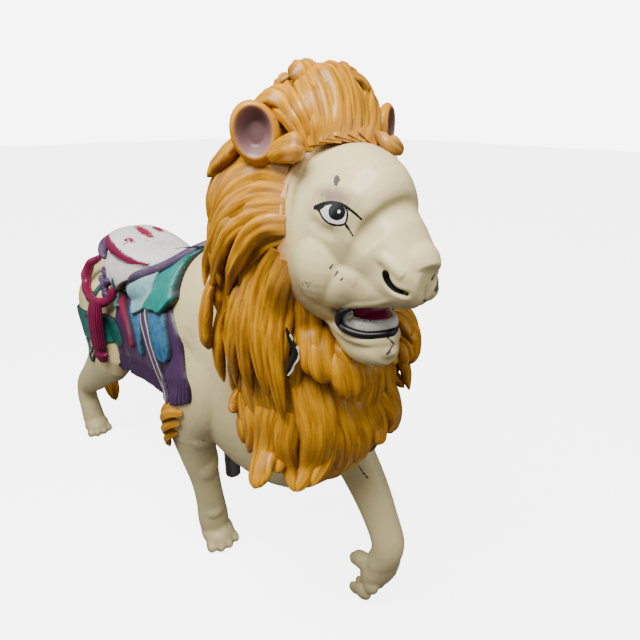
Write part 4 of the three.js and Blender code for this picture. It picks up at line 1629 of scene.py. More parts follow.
@dataclass
class Lock:
    """A carved lock of hair: flat below, ridged above, and drawn to a point.

    Attributes:
        points: the places that it passes through.
        outward: the direction that its face looks in, at each of those places.
        wide: half its greatest width.
        thick: half its thickness there.
        strands: how many ridges run along it.
        curl: how far, in degrees, it twists from root to tip.
        blunt: how round its tip is, from 0 to 1.
        ridged: how deep the ridges are cut, as a share of the thickness.
        rooted: its width at the root, as a share of the greatest.
        rings: how many loops of points it has.
        sides: how many points a loop has.
    """

    points: Array
    outward: Array
    wide: float
    thick: float
    strands: float = 3.0
    curl: float = 0.0
    blunt: float = 0.3
    ridged: float = 0.3
    rooted: float = 0.75
    rings: int = 26
    sides: int = 24

    def shell(self) -> tuple[Shell, Array, Array]:
        """Makes the lock.

        Returns:
            Its shell, each point's place in millimetres across and along the lock, and how much painted shade
            the point takes, most between strands and on the lock's underside and edges.
        """
        path = smooth_path([tuple(p) for p in self.points], self.rings)
        out = smooth_path([tuple(p) for p in self.outward], self.rings)
        along = unit(np.gradient(path, axis=0))
        side = unit(np.cross(out, along))
        face = np.cross(along, side)
        t = np.linspace(0, 1, self.rings)
        turn = np.radians(self.curl) * t
        side, face = (
            side * np.cos(turn)[:, None] + face * np.sin(turn)[:, None],
            face * np.cos(turn)[:, None] - side * np.sin(turn)[:, None],
        )
        near_end = 0.34 + 0.5 * self.blunt
        wide = self.wide * np.interp(
            t, [0, 0.12, 0.4, 0.7, 0.88, 0.96, 1],
            [
                self.rooted, 0.5 + 0.5 * self.rooted, 1, 0.72 + 0.28 * self.blunt, near_end,
                near_end * 0.62, 0.05,
            ],
        )
        thick = self.thick * np.interp(
            t, [0, 0.2, 0.5, 0.8, 0.94, 1], [0.08, 0.7, 1, 0.85, 0.3 + 0.4 * self.blunt, 0.08]
        )
        a = np.linspace(0, 2 * math.pi, self.sides, endpoint=False)
        top = np.clip(np.sin(a), 0, 1) ** 0.5
        ridge = 0.5 - 0.5 * np.cos(2 * math.pi * self.strands * (np.cos(a) * 0.5 + 0.5) + 0.6)
        groove = top * (1 - ridge)
        deep = thick[:, None] * (np.sin(a) * (1 - self.ridged * groove))
        across = wide[:, None] * np.cos(a)
        points = path[:, None] + side[:, None] * across[..., None] + face[:, None] * deep[..., None]
        length = float(np.linalg.norm(np.diff(path, axis=0), axis=1).sum())
        sweep = np.stack([across, np.repeat((t * length)[:, None], self.sides, 1)], -1)
        # painted shade: the grooves, the underside and the edges of the lock are darkened
        low_side = 1 - np.clip(np.sin(a) / 0.55, 0, 1)
        depth = np.clip(groove * (0.3 + 1.4 * self.ridged) + low_side * 0.85, 0, 1)[None]
        depth = depth.repeat(self.rings, 0)
        shell = Shell(points.reshape(-1, 3), bridge(self.rings, self.sides))
        return shell, sweep.reshape(-1, 2), depth.ravel()


@dataclass
class Mane:
    """The mane: a core, and rows of carved locks over it.

    Attributes:
        seed: where the small differences between locks start from.
    """

    seed: int = 7

    def __post_init__(self) -> None:
        """Seeds the small differences between locks."""
        self.chance = np.random.default_rng(self.seed)

    def falling(
        self, root: tuple[float, float], tip: tuple[float, float], wide: float, thick: float, flare: float,
        bend: float = 0.0, sweep: float = 2.0,
    ) -> Lock:
        """A lock that leaves its root sideways and then turns down the core.

        Args:
            root: where it starts, in degrees and height.
            tip: where it ends.
            wide: half its width.
            thick: half its thickness.
            flare: how far the tip stands off the core.
            bend: an S-bend across it, in degrees.
            sweep: how soon it turns down.

        Returns:
            The lock.
        """
        s = np.linspace(0, 1, 7)
        degrees = root[0] + (tip[0] - root[0]) * (1 - (1 - s) ** sweep) + bend * np.sin(2 * math.pi * s)
        height = root[1] + (tip[1] - root[1]) * s**1.35
        lift = flare * np.sin(math.pi / 2 * s) ** 1.2 + 0.35 * thick
        points = on_mane(degrees, height, lift)
        a = np.radians(degrees)
        outward = np.stack([np.cos(a), np.sin(a), 0.25 * np.ones_like(a)], -1)
        strands = 2.0 + float(self.chance.uniform(0, 1.4))
        return Lock(points, outward, wide, thick, strands, float(self.chance.uniform(-14, 14)))

    def under(self) -> list[Lock]:
        """Low locks that cover the core all round, for the bold ones to lie on."""
        locks: list[Lock] = []
        jitter = self.chance.uniform
        for count, root, tip, wide in (
            (17, 600, 455, 30),
            (19, 700, 520, 33),
            (19, 800, 610, 33),
            (18, 900, 700, 32),
            (18, 1000, 790, 32),
            (16, 1090, 880, 32),
            (14, 1170, 970, 31),
            (12, 1240, 1070, 27),
        ):
            for i in range(count):
                a = 360 / count * (i + 0.5 * (root // 100 % 2)) - 180 + jitter(-4, 4)
                front = math.cos(math.radians(a))
                if root > 850 and front > 0.35:
                    continue
                drop = 26 * (i % 2) + jitter(-12, 12)
                locks.append(
                    self.falling(
                        (a * 0.97, root + jitter(-10, 10)), (a, tip - drop + 20), 1.5 * wide, 11, 0,
                        jitter(-4, 4), 1.3,
                    )
                )
        return locks

    def back(self) -> list[Lock]:
        """The locks down the nape and over the withers, which the photograph doesn't show."""
        locks: list[Lock] = []
        jitter = self.chance.uniform
        for i in range(6):
            for k in range(5):
                a = 180 + 26 * (k - 2) + 13 * (i % 2)
                root = (a + jitter(-4, 4), 1230 - 105 * i)
                tip = (a + 7 * (k - 2) + jitter(-5, 5), 1060 - 100 * i + jitter(-16, 16))
                locks.append(self.falling(root, tip, 34, 16, 16, jitter(-5, 5), 1.4))
        # over the crown, from behind the crest to the nape
        for i in range(8):
            y = 92 - 28 * i
            places = [
                (712, y, 1272), (664, 1.08 * y, 1290), (612, 1.15 * y, 1256), (574, 1.2 * y, 1196),
                (560, 1.3 * y, 1130),
            ]
            points = np.asarray(places, float) + jitter(-6, 6, (5, 3))
            locks.append(self.lock_on(points, 27, 17, 2.4, 0.5, root=16.0))
        return locks

    def drawn(self) -> list[Lock]:
        """The bold locks of the right side and the front, and the right side's again on the left."""
        locks: list[Lock] = []
        for stroke in STROKES:
            where, points, wide = stroke.where, stroke.places(), stroke.wide()
            thick, strands, blunt = stroke.thick, stroke.strands, stroke.blunt
            leaf = where in ("chest", "beard")
            if where == "crest":
                blunt = 0.85
            stout = 1.35 if leaf else 1.1
            grown = 1.15 if where == "earlock" else 1.5
            root = {"crest": 11.0, "earlock": 10.0}.get(where, 12.0)
            rooted = {"crest": 1.0, "earlock": 0.35}.get(where, 0.75)
            locks.append(
                self.lock_on(points, wide * grown, thick * stout, strands, blunt, leaf, root, rooted)
            )
            if where in ("sweep", "long", "back", "crown", "beard"):
                wave = self.chance.uniform(-5, 5, points.shape)
                mirrored = self.other_side(points) + wave
                mirrored[:, 1] = np.minimum(mirrored[:, 1], 228)
                locks.append(self.lock_on(mirrored, wide * 1.5, thick * 1.1, strands, blunt))
        return locks

    def other_side(self, points: Array) -> Array:
        """Mirrors places from the right side to the left, about the head above and the neck below."""
        rows = smooth_path(MANE, 300)
        by_neck = points.copy()
        by_neck[:, 1] = 2 * np.interp(points[:, 2], rows[:, 2], rows[:, 1]) - points[:, 1]
        by_head = on_head(from_head(points) * np.array([1, -1, 1]))
        share = step(980, 1100, points[:, 2])[:, None]
        return by_head * share + by_neck * (1 - share)

    def lock_on(
        self, points: Array, wide: float, thick: float, strands: float, blunt: float, leaf: bool = False,
        root: float = 12.0, rooted: float = 0.75,
    ) -> Lock:
        """A lock through the given places, facing away from the mane's core or the crown.

        Args:
            points: the places, from root to tip.
            wide: half its width.
            thick: half its thickness.
            strands: how many ridges run along it.
            blunt: how round its tip is.
            leaf: whether it is a broad leaf whose tip stands off, and not a drawn-out strand.
            root: how deep its root is sunk.
            rooted: its width at the root, as a share of the greatest.

        Returns:
            The lock.
        """
        rows = smooth_path(MANE, 300)
        x, y, half, long = (np.interp(points[:, 2], rows[:, 2], rows[:, k]) for k in (0, 1, 3, 4))
        from_core = unit(
            np.stack([(points[:, 0] - x) / long**2, (points[:, 1] - y) / half**2, 0.0015 + 0 * x], -1)
        )
        from_crown = unit(points - on_head([[-50, 0, 40]])[0])
        share = step(1150, 1230, points[:, 2])[:, None]
        outward = unit(from_crown * share + from_core * (1 - share))
        sink = np.interp(np.linspace(0, 1, len(points)), [0, 0.25, 1], [root, 7, -7 if leaf else 2])
        points = points - outward * sink[:, None]
        return Lock(
            points, outward, wide, thick, strands, float(self.chance.uniform(-8, 8)), blunt,
            0.16 if leaf else 0.28, rooted,
        )

    def build(self) -> bpy.types.Object:
        """Models and dresses the mane.

        Returns:
            The piece.
        """
        rows = [(x, y, z, w, d) for x, y, z, w, d in MANE]
        core = loft(rows, 70, 56, Axis.Y)
        crown = headed(egg((-50, 0, 60), (94, 98, 98)))
        shells = [core, crown]
        sweeps = [np.zeros((len(core.points), 3)), np.zeros((len(crown.points), 3))]
        # the core and the crown show only in the gaps between locks, and take the full painted shade
        depths = [np.full(len(core.points), 1.0), np.full(len(crown.points), 1.0)]
        for number, lock in enumerate([*self.under(), *self.back(), *self.drawn()]):
            shell, sweep, depth = lock.shell()
            shells.append(shell)
            sweeps.append(np.column_stack([sweep, np.full(len(sweep), number * 61.0)]))
            depths.append(depth)
        piece = piece_from("mane", merged(shells))
        surface = Surface(piece)
        surface.paint("hollow", np.concatenate(depths))
        surface.sweep("strand", np.concatenate(sweeps))
        local = from_head(surface.points)
        edge_x = np.interp(
            local[:, 2], [-240, -190, -130, -60, 0, 50, 84, 110], [30, 22, 34, 34, 22, 22, 46, 66]
        )
        near_face = soft(
            (edge_x - local[:, 0]) / 40
        ) * step(190, 110, local[:, 2]) * step(-230, -120, local[:, 2])
        surface.paint("fade", 0.5 * near_face)
        finish_piece(piece, self.finish(), 60)
        return piece

    def tufts(self) -> bpy.types.Object:
        """Models the small tufts in the same gold: the curls behind the elbow and the tail's end.

        Returns:
            The piece.
        """
        elbow = (
            [(345, -186, 568), (302, -200, 552), (264, -204, 518), (246, -198, 478)],
            [(326, -188, 530), (287, -200, 508), (254, -202, 474), (242, -196, 438)],
            [(302, -186, 488), (272, -196, 464), (251, -198, 432), (248, -190, 400)],
        )
        locks = []
        for places in elbow:
            locks.append(
                Lock(np.asarray(places, float), np.array([[-0.3, -1, 0.35]] * 4), 27, 11, 2.2, 10, 0.5, 0.3)
            )
        spine = [(-700, -38, 268), (-696, -40, 236), (-680, -44, 166), (-662, -44, 100), (-648, -44, 54)]
        for degrees in range(0, 360, 60):
            a = math.radians(degrees + 20)
            out = np.array([math.cos(a), math.sin(a), 0.1])
            reach = np.array([4, 12, 20, 16, 3])[:, None]
            locks.append(
                Lock(np.asarray(spine, float) + out * reach, np.array([out] * 5), 22, 15, 2.0, 20, 0.5, 0.3)
            )
        shells, sweeps, depths = [], [], []
        for number, lock in enumerate(locks):
            shell, sweep, depth = lock.shell()
            shells.append(shell)
            sweeps.append(np.column_stack([sweep, np.full(len(sweep), number * 43.0)]))
            depths.append(depth)
        piece = piece_from("tufts", merged(shells))
        surface = Surface(piece)
        # painted shade between the strands and under each lock
        surface.paint("hollow", np.concatenate(depths))
        surface.sweep("strand", np.concatenate(sweeps))
        surface.paint("fade", np.full(len(surface.points), 0.12))
        finish_piece(piece, self.finish(), 60)
        return piece

    def broken(self) -> list[bpy.types.Object]:
        """Models the hole broken in the moulding between the side's locks and the beard.

        Returns:
            The hole, a black sheet painted as the shadow inside it, and the bare jagged edge beside it.
        """
        over = np.array([0.683, 0.73, 0.0])
        middle = [(733, -156, 912), (738, -151, 890), (744, -146, 870), (740, -151, 848), (733, -158, 826)]
        hole = loft([(*m, w, 6) for m, w in zip(middle, (2, 5, 6, 5, 2))], 30, 16, over)
        edge = []
        for i, (m, w) in enumerate(zip(smooth_path(middle, 9), np.interp(range(9), [0, 4, 8], [2, 7, 3]))):
            x, y, z = m + over * (w + 2 * (i % 2)) + np.array([0, 0, -6])
            edge.append((x, y, z, 1.3 + 1.4 * (i % 2), 5))
        # painted shadow: a black sheet stands in for the dark inside of the hollow moulding
        dark = Enamel(
            "break_shadow", Paint.BLACK, Paint.BLACK, Paint.BLACK, roughness=0.8, chips=0.0, worn=0.0
        )
        bare = Enamel(
            "break_edge", Paint.GUM, Paint.EYE_GREY, Paint.GUM, roughness=0.8, ripple_mm=3.0, chips=0.1
        )
        pieces = []
        for name, shell, coat in (
            ("break_hole", hole, dark), ("break_rim", loft(edge, 40, 12, over), bare)
        ):
            piece = piece_from(name, shell)
            Surface(piece).paint("hollow", np.zeros(len(shell.points)))
            finish_piece(piece, coat.material())
            pieces.append(piece)
        return pieces

    def finish(self) -> bpy.types.Material:
        """Golden enamel over hair: streaked lighter along the strands, brown painted shade between them and
        under the locks, rosy white by the face.
        """
        coat = Enamel("mane_enamel", Paint.GOLD, Paint.GOLD_DEEP, Paint.GOLD_LIGHT, 0.36, 14.0, 0.3, 0.7)
        graph = Graph(coat.name)
        colour = coat.ground(graph)
        # the brush went along the hair: streaks 4 mm wide and some 60 mm long
        sweep = graph.add("Attribute", {"attribute_name": "strand"}).outputs["Vector"]
        drawn_out = graph.add("Mapping", {}, {"Vector": sweep, "Scale": (0.16, 0.014, 1.0)}).outputs[0]
        streak = graph.add(
            "TexNoise", {}, {"Vector": drawn_out, "Scale": 1.0, "Detail": 4.0, "Roughness": 0.6}
        ).outputs[0]
        bright = graph.add(
            "MapRange", {}, {"Value": streak, "From Min": 0.5, "From Max": 0.64, "To Max": 0.7}
        ).outputs[0]
        colour = mix(graph, bright, colour, srgb(Paint.GOLD_LIGHT.value))
        dull = graph.add(
            "MapRange", {}, {"Value": streak, "From Min": 0.46, "From Max": 0.34, "To Max": 0.45}
        ).outputs[0]
        colour = mix(graph, dull, colour, srgb(Paint.GOLD_DEEP.value))
        place = graph.add("TexCoord").outputs["Object"]
        rubbed = graph.add(
            "TexNoise", {}, {"Vector": place, "Scale": 70.0, "Detail": 5.0, "Roughness": 0.7}
        )
        fade = graph.add("Attribute", {"attribute_name": "fade"}).outputs["Fac"]
        reach = graph.add(
            "Math", {"operation": "MULTIPLY_ADD"}, {0: rubbed.outputs[0], 1: 0.8, 2: -0.4}
        ).outputs[0]
        near = graph.add("Math", {"operation": "ADD", "use_clamp": True}, {0: fade, 1: reach}).outputs[0]
        near = graph.add("Math", {"operation": "MULTIPLY"}, {0: near, 1: fade}).outputs[0]
        colour = mix(graph, near, colour, srgb(Paint.ROSE_WHITE.value))
        # worn whitish crests, about 30 mm long
        pale = graph.add(
            "MapRange", {}, {"Value": rubbed.outputs[0], "From Min": 0.6, "From Max": 0.72, "To Max": 0.22}
        )
        hollow = graph.add("Attribute", {"attribute_name": "hollow"}).outputs["Fac"]
        high = graph.add(
            "Math", {"operation": "SUBTRACT", "use_clamp": True}, {0: pale.outputs[0], 1: hollow}
        ).outputs[0]
        colour = mix(graph, high, colour, srgb(Paint.ROSE_WHITE.value))
        return coat.close(graph, colour)


# Saddle and trappings


@dataclass(frozen=True)
class Patch:
    """One shape of the relief on the flank, drawn by x and z, and its paint.

    Attributes:
        name: the shape's name, which is also that of its painted zone.
        colour: its paint.
        height: how far it stands off the flank, in millimetres.
        outline: its corners; empty for a strap.
        path: a strap's middle line; empty for a shape.
        wide: a strap's half width.
        edge: over how many millimetres its side falls.
        flute: spacing of the cut lines that run down it, or zero.
        flute_from: the share of the strap, or the distance from the hem, from which they run.
        show_side: whether only the right flank has it.
        on_cloth: whether it ends at the cloth's hem.
    """

    name: str
    colour: Paint
    height: float
    outline: tuple[tuple[float, float], ...] = ()
    path: tuple[tuple[float, float], ...] = ()
    wide: float = 0.0
    edge: float = 7.0
    flute: float = 0.0
    flute_from: float = 0.0
    show_side: bool = False
    on_cloth: bool = False

    def measure(self, flat: Array) -> tuple[Array, Array, Array]:
        """Measures places on the flank against the shape.

        Args:
            flat: the places' x and z.

        Returns:
            The signed distance to its edge, the share of its length, and the distance across it.
        """
        if self.outline:
            corners = smooth_loop(self.outline, 5)
            return outline_distance(flat, corners), np.zeros(len(flat)), flat[:, 0]
        path = smooth_path(list(self.path), 40)
        away, share = to_path(flat, path)
        way = unit(path[-1] - path[0])
        across = (flat - path[0]) @ np.array([way[1], -way[0]])
        return away - self.wide, share, across


def smooth_loop(corners: tuple[tuple[float, float], ...], each: int) -> Rows:
    """Rounds a closed outline a little between its corners."""
    loop = np.asarray([corners[-1], *corners, corners[0], corners[1]], float)
    rows = smooth_path([tuple(c) for c in loop], (len(loop) - 1) * each + 1)
    return [tuple(c) for c in rows[each:-each]][:-1]


PATCHES = (
    Patch(
        "cloth",
        Paint.PURPLE,
        10,
        (
            (
                -150, 724
            ), (-146, 690), (-146, 649), (-166, 530), (-190, 446), (-150, 450), (-92, 478), (-84, 470),
            (-12, 488), (71, 510), (141, 523), (194, 530), (251, 546), (325, 568), (366, 588), (388, 606),
            (
                388, 646
            ), (364, 680), (346, 714), (334, 748), (300, 790), (262, 830), (240, 890), (100, 850), (0, 800),
            (-40, 760), (-90, 730),
        ),
        flute=15,
        flute_from=84,
    ),
    Patch(
        "band", Paint.TEAL, 9, path=((-144, 596), (-200, 590), (-300, 579), (-400, 566), (-520, 548)), wide=48
    ),
    Patch("strap_up", Paint.TEAL, 7, path=((-316, 620), (-316, 660), (-312, 706)), wide=11, show_side=True),
    Patch(
        "chevron", Paint.TEAL, 8, path=((-356, 516), (-314, 444), (-258, 512)), wide=5, edge=5, show_side=True
    ),
    Patch(
        "chevron_in", Paint.PALE_BLUE, 7, path=((-334, 520), (-311, 478), (-280, 516)), wide=4, edge=4,
        show_side=True,
    ),
    Patch(
        "girth",
        Paint.TRIM,
        17,
        path=((76, 790), (96, 744), (144, 704), (184, 655), (218, 602), (254, 566), (300, 530)),
        wide=27,
        on_cloth=True,
    ),
    Patch(
        "rear_panel",
        Paint.BLUE,
        19,
        (
            (-44, 740), (-28, 704), (12, 692), (50, 674), (66, 640), (76, 612), (104, 618), (104, 650),
            (94, 690), (64, 740),
        ),
        flute=9,
        flute_from=60,
        show_side=True,
    ),
    Patch(
        "front_panel",
        Paint.BLUE,
        21,
        (
            (130, 790), (
                141, 760
            ), (170, 728), (204, 688), (220, 664), (240, 656), (262, 660), (284, 672), (303, 690),
            (306, 720), (290, 756), (262, 805), (208, 810),
        ),
        flute=9,
        flute_from=52,
        show_side=True,
    ),
    Patch(
        "ribbon", Paint.SEAT_RED, 20, path=((-132, 726), (-66, 694), (-12, 656), (14, 622)), wide=15,
        show_side=True,
    ),
    Patch(
        "skirt",
        Paint.SEAT_WHITE,
        22,
        (
            (
                -262, 850
            ), (-232, 818), (-190, 782), (-152, 748), (-128, 732), (-104, 756), (-60, 784), (2, 812),
            (60, 838), (130, 870), (150, 872), (60, 852), (-150, 838),
        ),
    ),
    Patch(
        "tie", Paint.TURQUOISE, 27, path=((-128, 774), (-124, 748), (-132, 716), (-122, 696)), wide=7,
        edge=5, show_side=True,
    ),
    Patch(
        "pale_petal",
        Paint.PALE_BLUE,
        27,
        (
            (
                204, 908
            ), (170, 888), (134, 871), (81, 846), (30, 821), (-12, 796), (-24, 768), (-24, 740), (0, 722),
            (24, 716), (46, 724), (98, 750), (117, 772), (129, 802), (137, 833), (150, 866),
        ),
        edge=9,
    ),
    Patch(
        "bright_petal",
        Paint.TURQUOISE,
        30,
        (
            (276, 956), (
                240, 933
            ), (215, 911), (186, 890), (148, 864), (137, 833), (129, 802), (112, 772), (123, 764),
            (165, 772), (
                207, 784
            ), (246, 790), (272, 806), (300, 838), (290, 862), (280, 892), (276, 915), (282, 940),
        ),
        edge=10,
    ),
)


@dataclass
class Relief:
    """The cloth, straps, panels and petals that are moulded on one flank.

    Attributes:
        side: RIGHT or LEFT.
        pitch: the mesh size in millimetres.
        buried: how far the relief's outside edge lies under the flank.
    """

    side: int
    pitch: float = 3.2
    buried: float = 7.0

    def flank(self, carriers: list[bpy.types.Object], x: Array, z: Array) -> Array:
        """Finds how far out the flank lies, by looking at it from the side.

        Args:
            carriers: the pieces that carry the relief.
            x: places along the flank.
            z: their heights.

        Returns:
            The distance from the middle plane, or NaN where there is no flank.
        """
        trees = [BVHTree.FromObject(c, bpy.context.evaluated_depsgraph_get()) for c in carriers]
        found = np.full(x.size, np.nan)
        way = Vector((0, -self.side, 0))
        for i, (a, b) in enumerate(zip(x.ravel(), z.ravel())):
            start = (np.array([a, self.side * 400.0, b]) + DRAWN_TO_PACKED) * MM
            for tree in trees:
                spot, _, _, _ = tree.ray_cast(Vector(start), way, 0.4)
                if spot is not None:
                    out = self.side * (spot.y / MM - DRAWN_TO_PACKED[1])
                    found[i] = out if math.isnan(found[i]) else max(found[i], out)
        return found.reshape(x.shape)

    def build(self, carriers: list[bpy.types.Object]) -> bpy.types.Object:
        """Models and dresses the relief.

        Args:
            carriers: the pieces that carry it.

        Returns:
            The piece.
        """
        xs = np.arange(-545, 420, self.pitch)
        zs = np.arange(428, 962, self.pitch)
        x, z = np.meshgrid(xs, zs)
        # below the flank's middle the cloth hangs, while the belly draws in under it
        hang = self.side * on_flank(x, z, self.side)[..., 1]
        out = settle(self.flank(carriers, x, z))
        out = np.where(np.isnan(out) | (z < 640), np.fmax(out, hang), out)
        flat = np.stack([x.ravel(), z.ravel()], -1)
        lift = np.full(len(flat), -self.buried)
        edge = np.full(len(flat), 60.0)
        groove = np.zeros(len(flat))
        zones = {}
        for patch in PATCHES:
            if patch.show_side and self.side == LEFT:
                zones[patch.name] = np.full(len(flat), 60.0)
                continue
            away, _, across = patch.measure(flat)
            if patch.on_cloth:
                away = np.maximum(away, zones["cloth"] + 3)
            inside = step(patch.edge * 0.35, -patch.edge * 0.65, away)
            height = np.full(len(flat), float(patch.height))
            if patch.flute:
                cut = np.abs(np.sin(math.pi * across / patch.flute)) ** 0.5
                low = step(patch.flute_from, patch.flute_from * 0.6, fringe_place(patch, flat))
                height -= 6.5 * low * (1 - cut)
                groove = np.where(away < 0, low * (1 - cut), groove)
            else:
                groove = np.where(away < 0, 0, groove)
            lift = np.maximum(lift, -self.buried + (height + self.buried) * inside)
            edge = np.where(away < 0, -away, np.minimum(edge, away))
            zones[patch.name] = away
        lift += 1.2 * np.sin(flat[:, 0] / 19) * np.sin(flat[:, 1] / 47 + flat[:, 0] / 90) * (lift > 4)
        keep = (lift > -self.buried + 0.05) & ~np.isnan(out.ravel())
        points = np.stack([flat[:, 0], self.side * (np.nan_to_num(out.ravel()) + lift), flat[:, 1]], -1)
        piece = self.mesh(points, keep, x.shape)
        surface = Surface(piece)
        index = np.flatnonzero(self.used)
        # the wall's points take the numbers of the hem's
        index = np.concatenate([index, np.full(len(surface.points) - len(index), index[0])])
        for name, value in zones.items():
            surface.paint(name, value[index])
        surface.paint("edge", edge[index])
        girth = next(patch for patch in PATCHES if patch.name == "girth")
        across = girth.measure(flat)[0] + girth.wide
        surface.paint("girth_across", across[index])
        # painted shade: darker all over, more so along each shape's edge and down the cut flutes
        surface.paint("hollow", np.clip(0.22 + 0.6 * soft(edge / 9) + 1.0 * groove, 0, 1)[index])
        finish_piece(piece, self.finish(), 70)
        return piece

    def mesh(self, points: Array, keep: Array, shape: tuple[int, int]) -> bpy.types.Object:
        """Makes a closed shell of the kept part of the relief, with a plain back a little behind it.

        Args:
            points: the relief's places, row by row.
            keep: which of them are kept.
            shape: the rows and columns.

        Returns:
            The piece.
        """
        rows, columns = shape
        number = np.arange(rows * columns).reshape(shape)
        corners = np.stack(
            [number[:-1, :-1], number[:-1, 1:], number[1:, 1:], number[1:, :-1]], -1
        ).reshape(-1, 4)
        corners = corners[keep[corners].all(1)]
        if self.side == LEFT:
            corners = corners[:, ::-1]
        self.used = np.zeros(len(points), bool)
        self.used[corners.ravel()] = True
        renumber = np.cumsum(self.used) - 1
        faces = [tuple(int(i) for i in f) for f in renumber[corners]]
        name = "trappings_right" if self.side == RIGHT else "trappings_left"
        piece = piece_from(name, Shell(points[self.used], faces))
        self.close_back(piece)
        return piece

    def close_back(self, piece: bpy.types.Object) -> None:
        """Carries the relief's border in to the middle of the body, where nothing of it shows.

        Args:
            piece: the relief's piece.
        """
        deselect()
        bpy.context.view_layer.objects.active = piece
        piece.select_set(True)
        bpy.ops.object.mode_set(mode="EDIT")
        bpy.ops.mesh.select_mode(type="EDGE")
        bpy.ops.mesh.select_all(action="DESELECT")
        bpy.ops.object.mode_set(mode="OBJECT")
        mesh = piece.data
        uses: dict[tuple[int, int], int] = {}
        for face in mesh.polygons:
            for pair in face.edge_keys:
                uses[pair] = uses.get(pair, 0) + 1
        low = 640 * MM
        for edge in mesh.edges:
            heights = [mesh.vertices[v].co.z for v in edge.vertices]
            edge.select = uses.get(tuple(sorted(edge.vertices)), 0) == 1 and max(heights) < low
        bpy.ops.object.mode_set(mode="EDIT")
        bpy.ops.mesh.extrude_edges_move()
        middle = (0.0, float((self.side * 24 + DRAWN_TO_PACKED[1]) * MM), 0.0)
        bpy.ops.transform.resize(value=(1, 0, 1), center_override=middle, orient_type="GLOBAL")
        bpy.ops.transform.translate(value=(0, 0, 0.02))
        bpy.ops.object.mode_set(mode="OBJECT")

    def finish(self) -> bpy.types.Material:
        """Enamels of many colours, each shape cut in with a dark line."""
        coat = Enamel("trappings_enamel", Paint.PURPLE, Paint.BLACK, Paint.TRIM, 0.36, 7.0, 0.45, 0.5)
        graph = Graph(coat.name)
        colour = coat.ground(graph)
        place = graph.add("TexCoord").outputs["Object"]
        blotch = graph.add(
            "TexNoise", {}, {"Vector": place, "Scale": 45.0, "Detail": 5.0, "Roughness": 0.65}
        )
        shade = graph.add(
            "MapRange", {}, {"Value": blotch.outputs[0], "From Min": 0.35, "From Max": 0.7, "To Max": 0.45}
        )
        hollow = graph.add("Attribute", {"attribute_name": "hollow"}).outputs["Fac"]
        for patch in PATCHES[1:]:
            worn = mix(graph, shade.outputs[0], srgb(patch.colour.value), srgb(WORN[patch.colour].value))
            # painted shade: each paint goes towards near black in the hollows
            deep = mix(graph, hollow, worn, srgb("1E1A1E"))
            colour = mix(graph, zone(graph, patch.name, 1.5, 0.8), colour, deep)
            if patch.name == "girth":
                colour = self.girth_lines(graph, colour)
        line = graph.add("Attribute", {"attribute_name": "edge"}).outputs["Fac"]
        thin = graph.add(
            "MapRange", {}, {"Value": line, "From Min": 1.4, "From Max": 3.2, "To Min": 0.85, "To Max": 0.0}
        )
        colour = mix(graph, thin.outputs[0], colour, srgb("2A211F"))
        return coat.close(graph, colour)

    def girth_lines(self, graph: Graph, colour: bpy.types.NodeSocket) -> bpy.types.NodeSocket:
        """Draws the girth's two cream lines.

        Args:
            graph: the material's tree.
            colour: the colour so far.

        Returns:
            The colour with the lines.
        """
        across = graph.add("Attribute", {"attribute_name": "girth_across"}).outputs["Fac"]
        near = graph.add("Math", {"operation": "SUBTRACT"}, {0: across, 1: 17.0}).outputs[0]
        near = graph.add("Math", {"operation": "ABSOLUTE"}, {0: near}).outputs[0]
        line = graph.add(
            "MapRange", {}, {"Value": near, "From Min": 3.0, "From Max": 4.2, "To Min": 1.0, "To Max": 0.0}
        )
        inside = zone(graph, "girth", 1.5)
        both = graph.add("Math", {"operation": "MULTIPLY"}, {0: line.outputs[0], 1: inside}).outputs[0]
        return mix(graph, both, colour, srgb(Paint.GUM.value))


WORN = {
    Paint.TEAL: Paint.TURQUOISE,
    Paint.TRIM: Paint.PURPLE,
    Paint.BLUE: Paint.PALE_BLUE,
    Paint.SEAT_RED: Paint.MAGENTA,
    Paint.PALE_BLUE: Paint.SEAT_WHITE,
    Paint.TURQUOISE: Paint.TEAL,
    Paint.GOLD: Paint.GOLD_DEEP,
    Paint.SEAT_WHITE: Paint.EYE_GREY,
}


def fringe_place(patch: Patch, flat: Array) -> Array:
    """How far places lie above the lower edge of a fringed shape, at their own x."""
    corners = np.asarray(smooth_loop(patch.outline, 5))
    low = np.full(len(flat), np.inf)
    for (x0, z0), (x1, z1) in zip(corners, np.roll(corners, -1, axis=0)):
        if x1 <= x0:
            continue
        share = np.clip((flat[:, 0] - x0) / (x1 - x0), 0, 1)
        within = (flat[:, 0] >= x0) & (flat[:, 0] <= x1)
        low = np.where(within, np.minimum(low, z0 + share * (z1 - z0)), low)
    return np.where(np.isinf(low), 1e3, flat[:, 1] - low)


def settle(heights: Array) -> Array:
    """Fills small gaps in a grid of heights and softens it, as cloth lies over what is under it."""
    known = ~np.isnan(heights)
    filled = np.where(known, heights, 0.0)
    weight = known.astype(float)
    for _ in range(6):
        blurred, cover = filled * weight, weight.copy()
        for axis in (0, 1):
            blurred = np.roll(blurred, 1, axis) + 2 * blurred + np.roll(blurred, -1, axis)
            cover = np.roll(cover, 1, axis) + 2 * cover + np.roll(cover, -1, axis)
        filled = np.where(cover > 0, blurred / np.maximum(cover, 1e-9), 0)
        weight = (cover > 0.5).astype(float)
    near = weight > 0
    return np.where(known, np.maximum(filled, heights), np.where(near & (filled > 20), filled, np.nan))


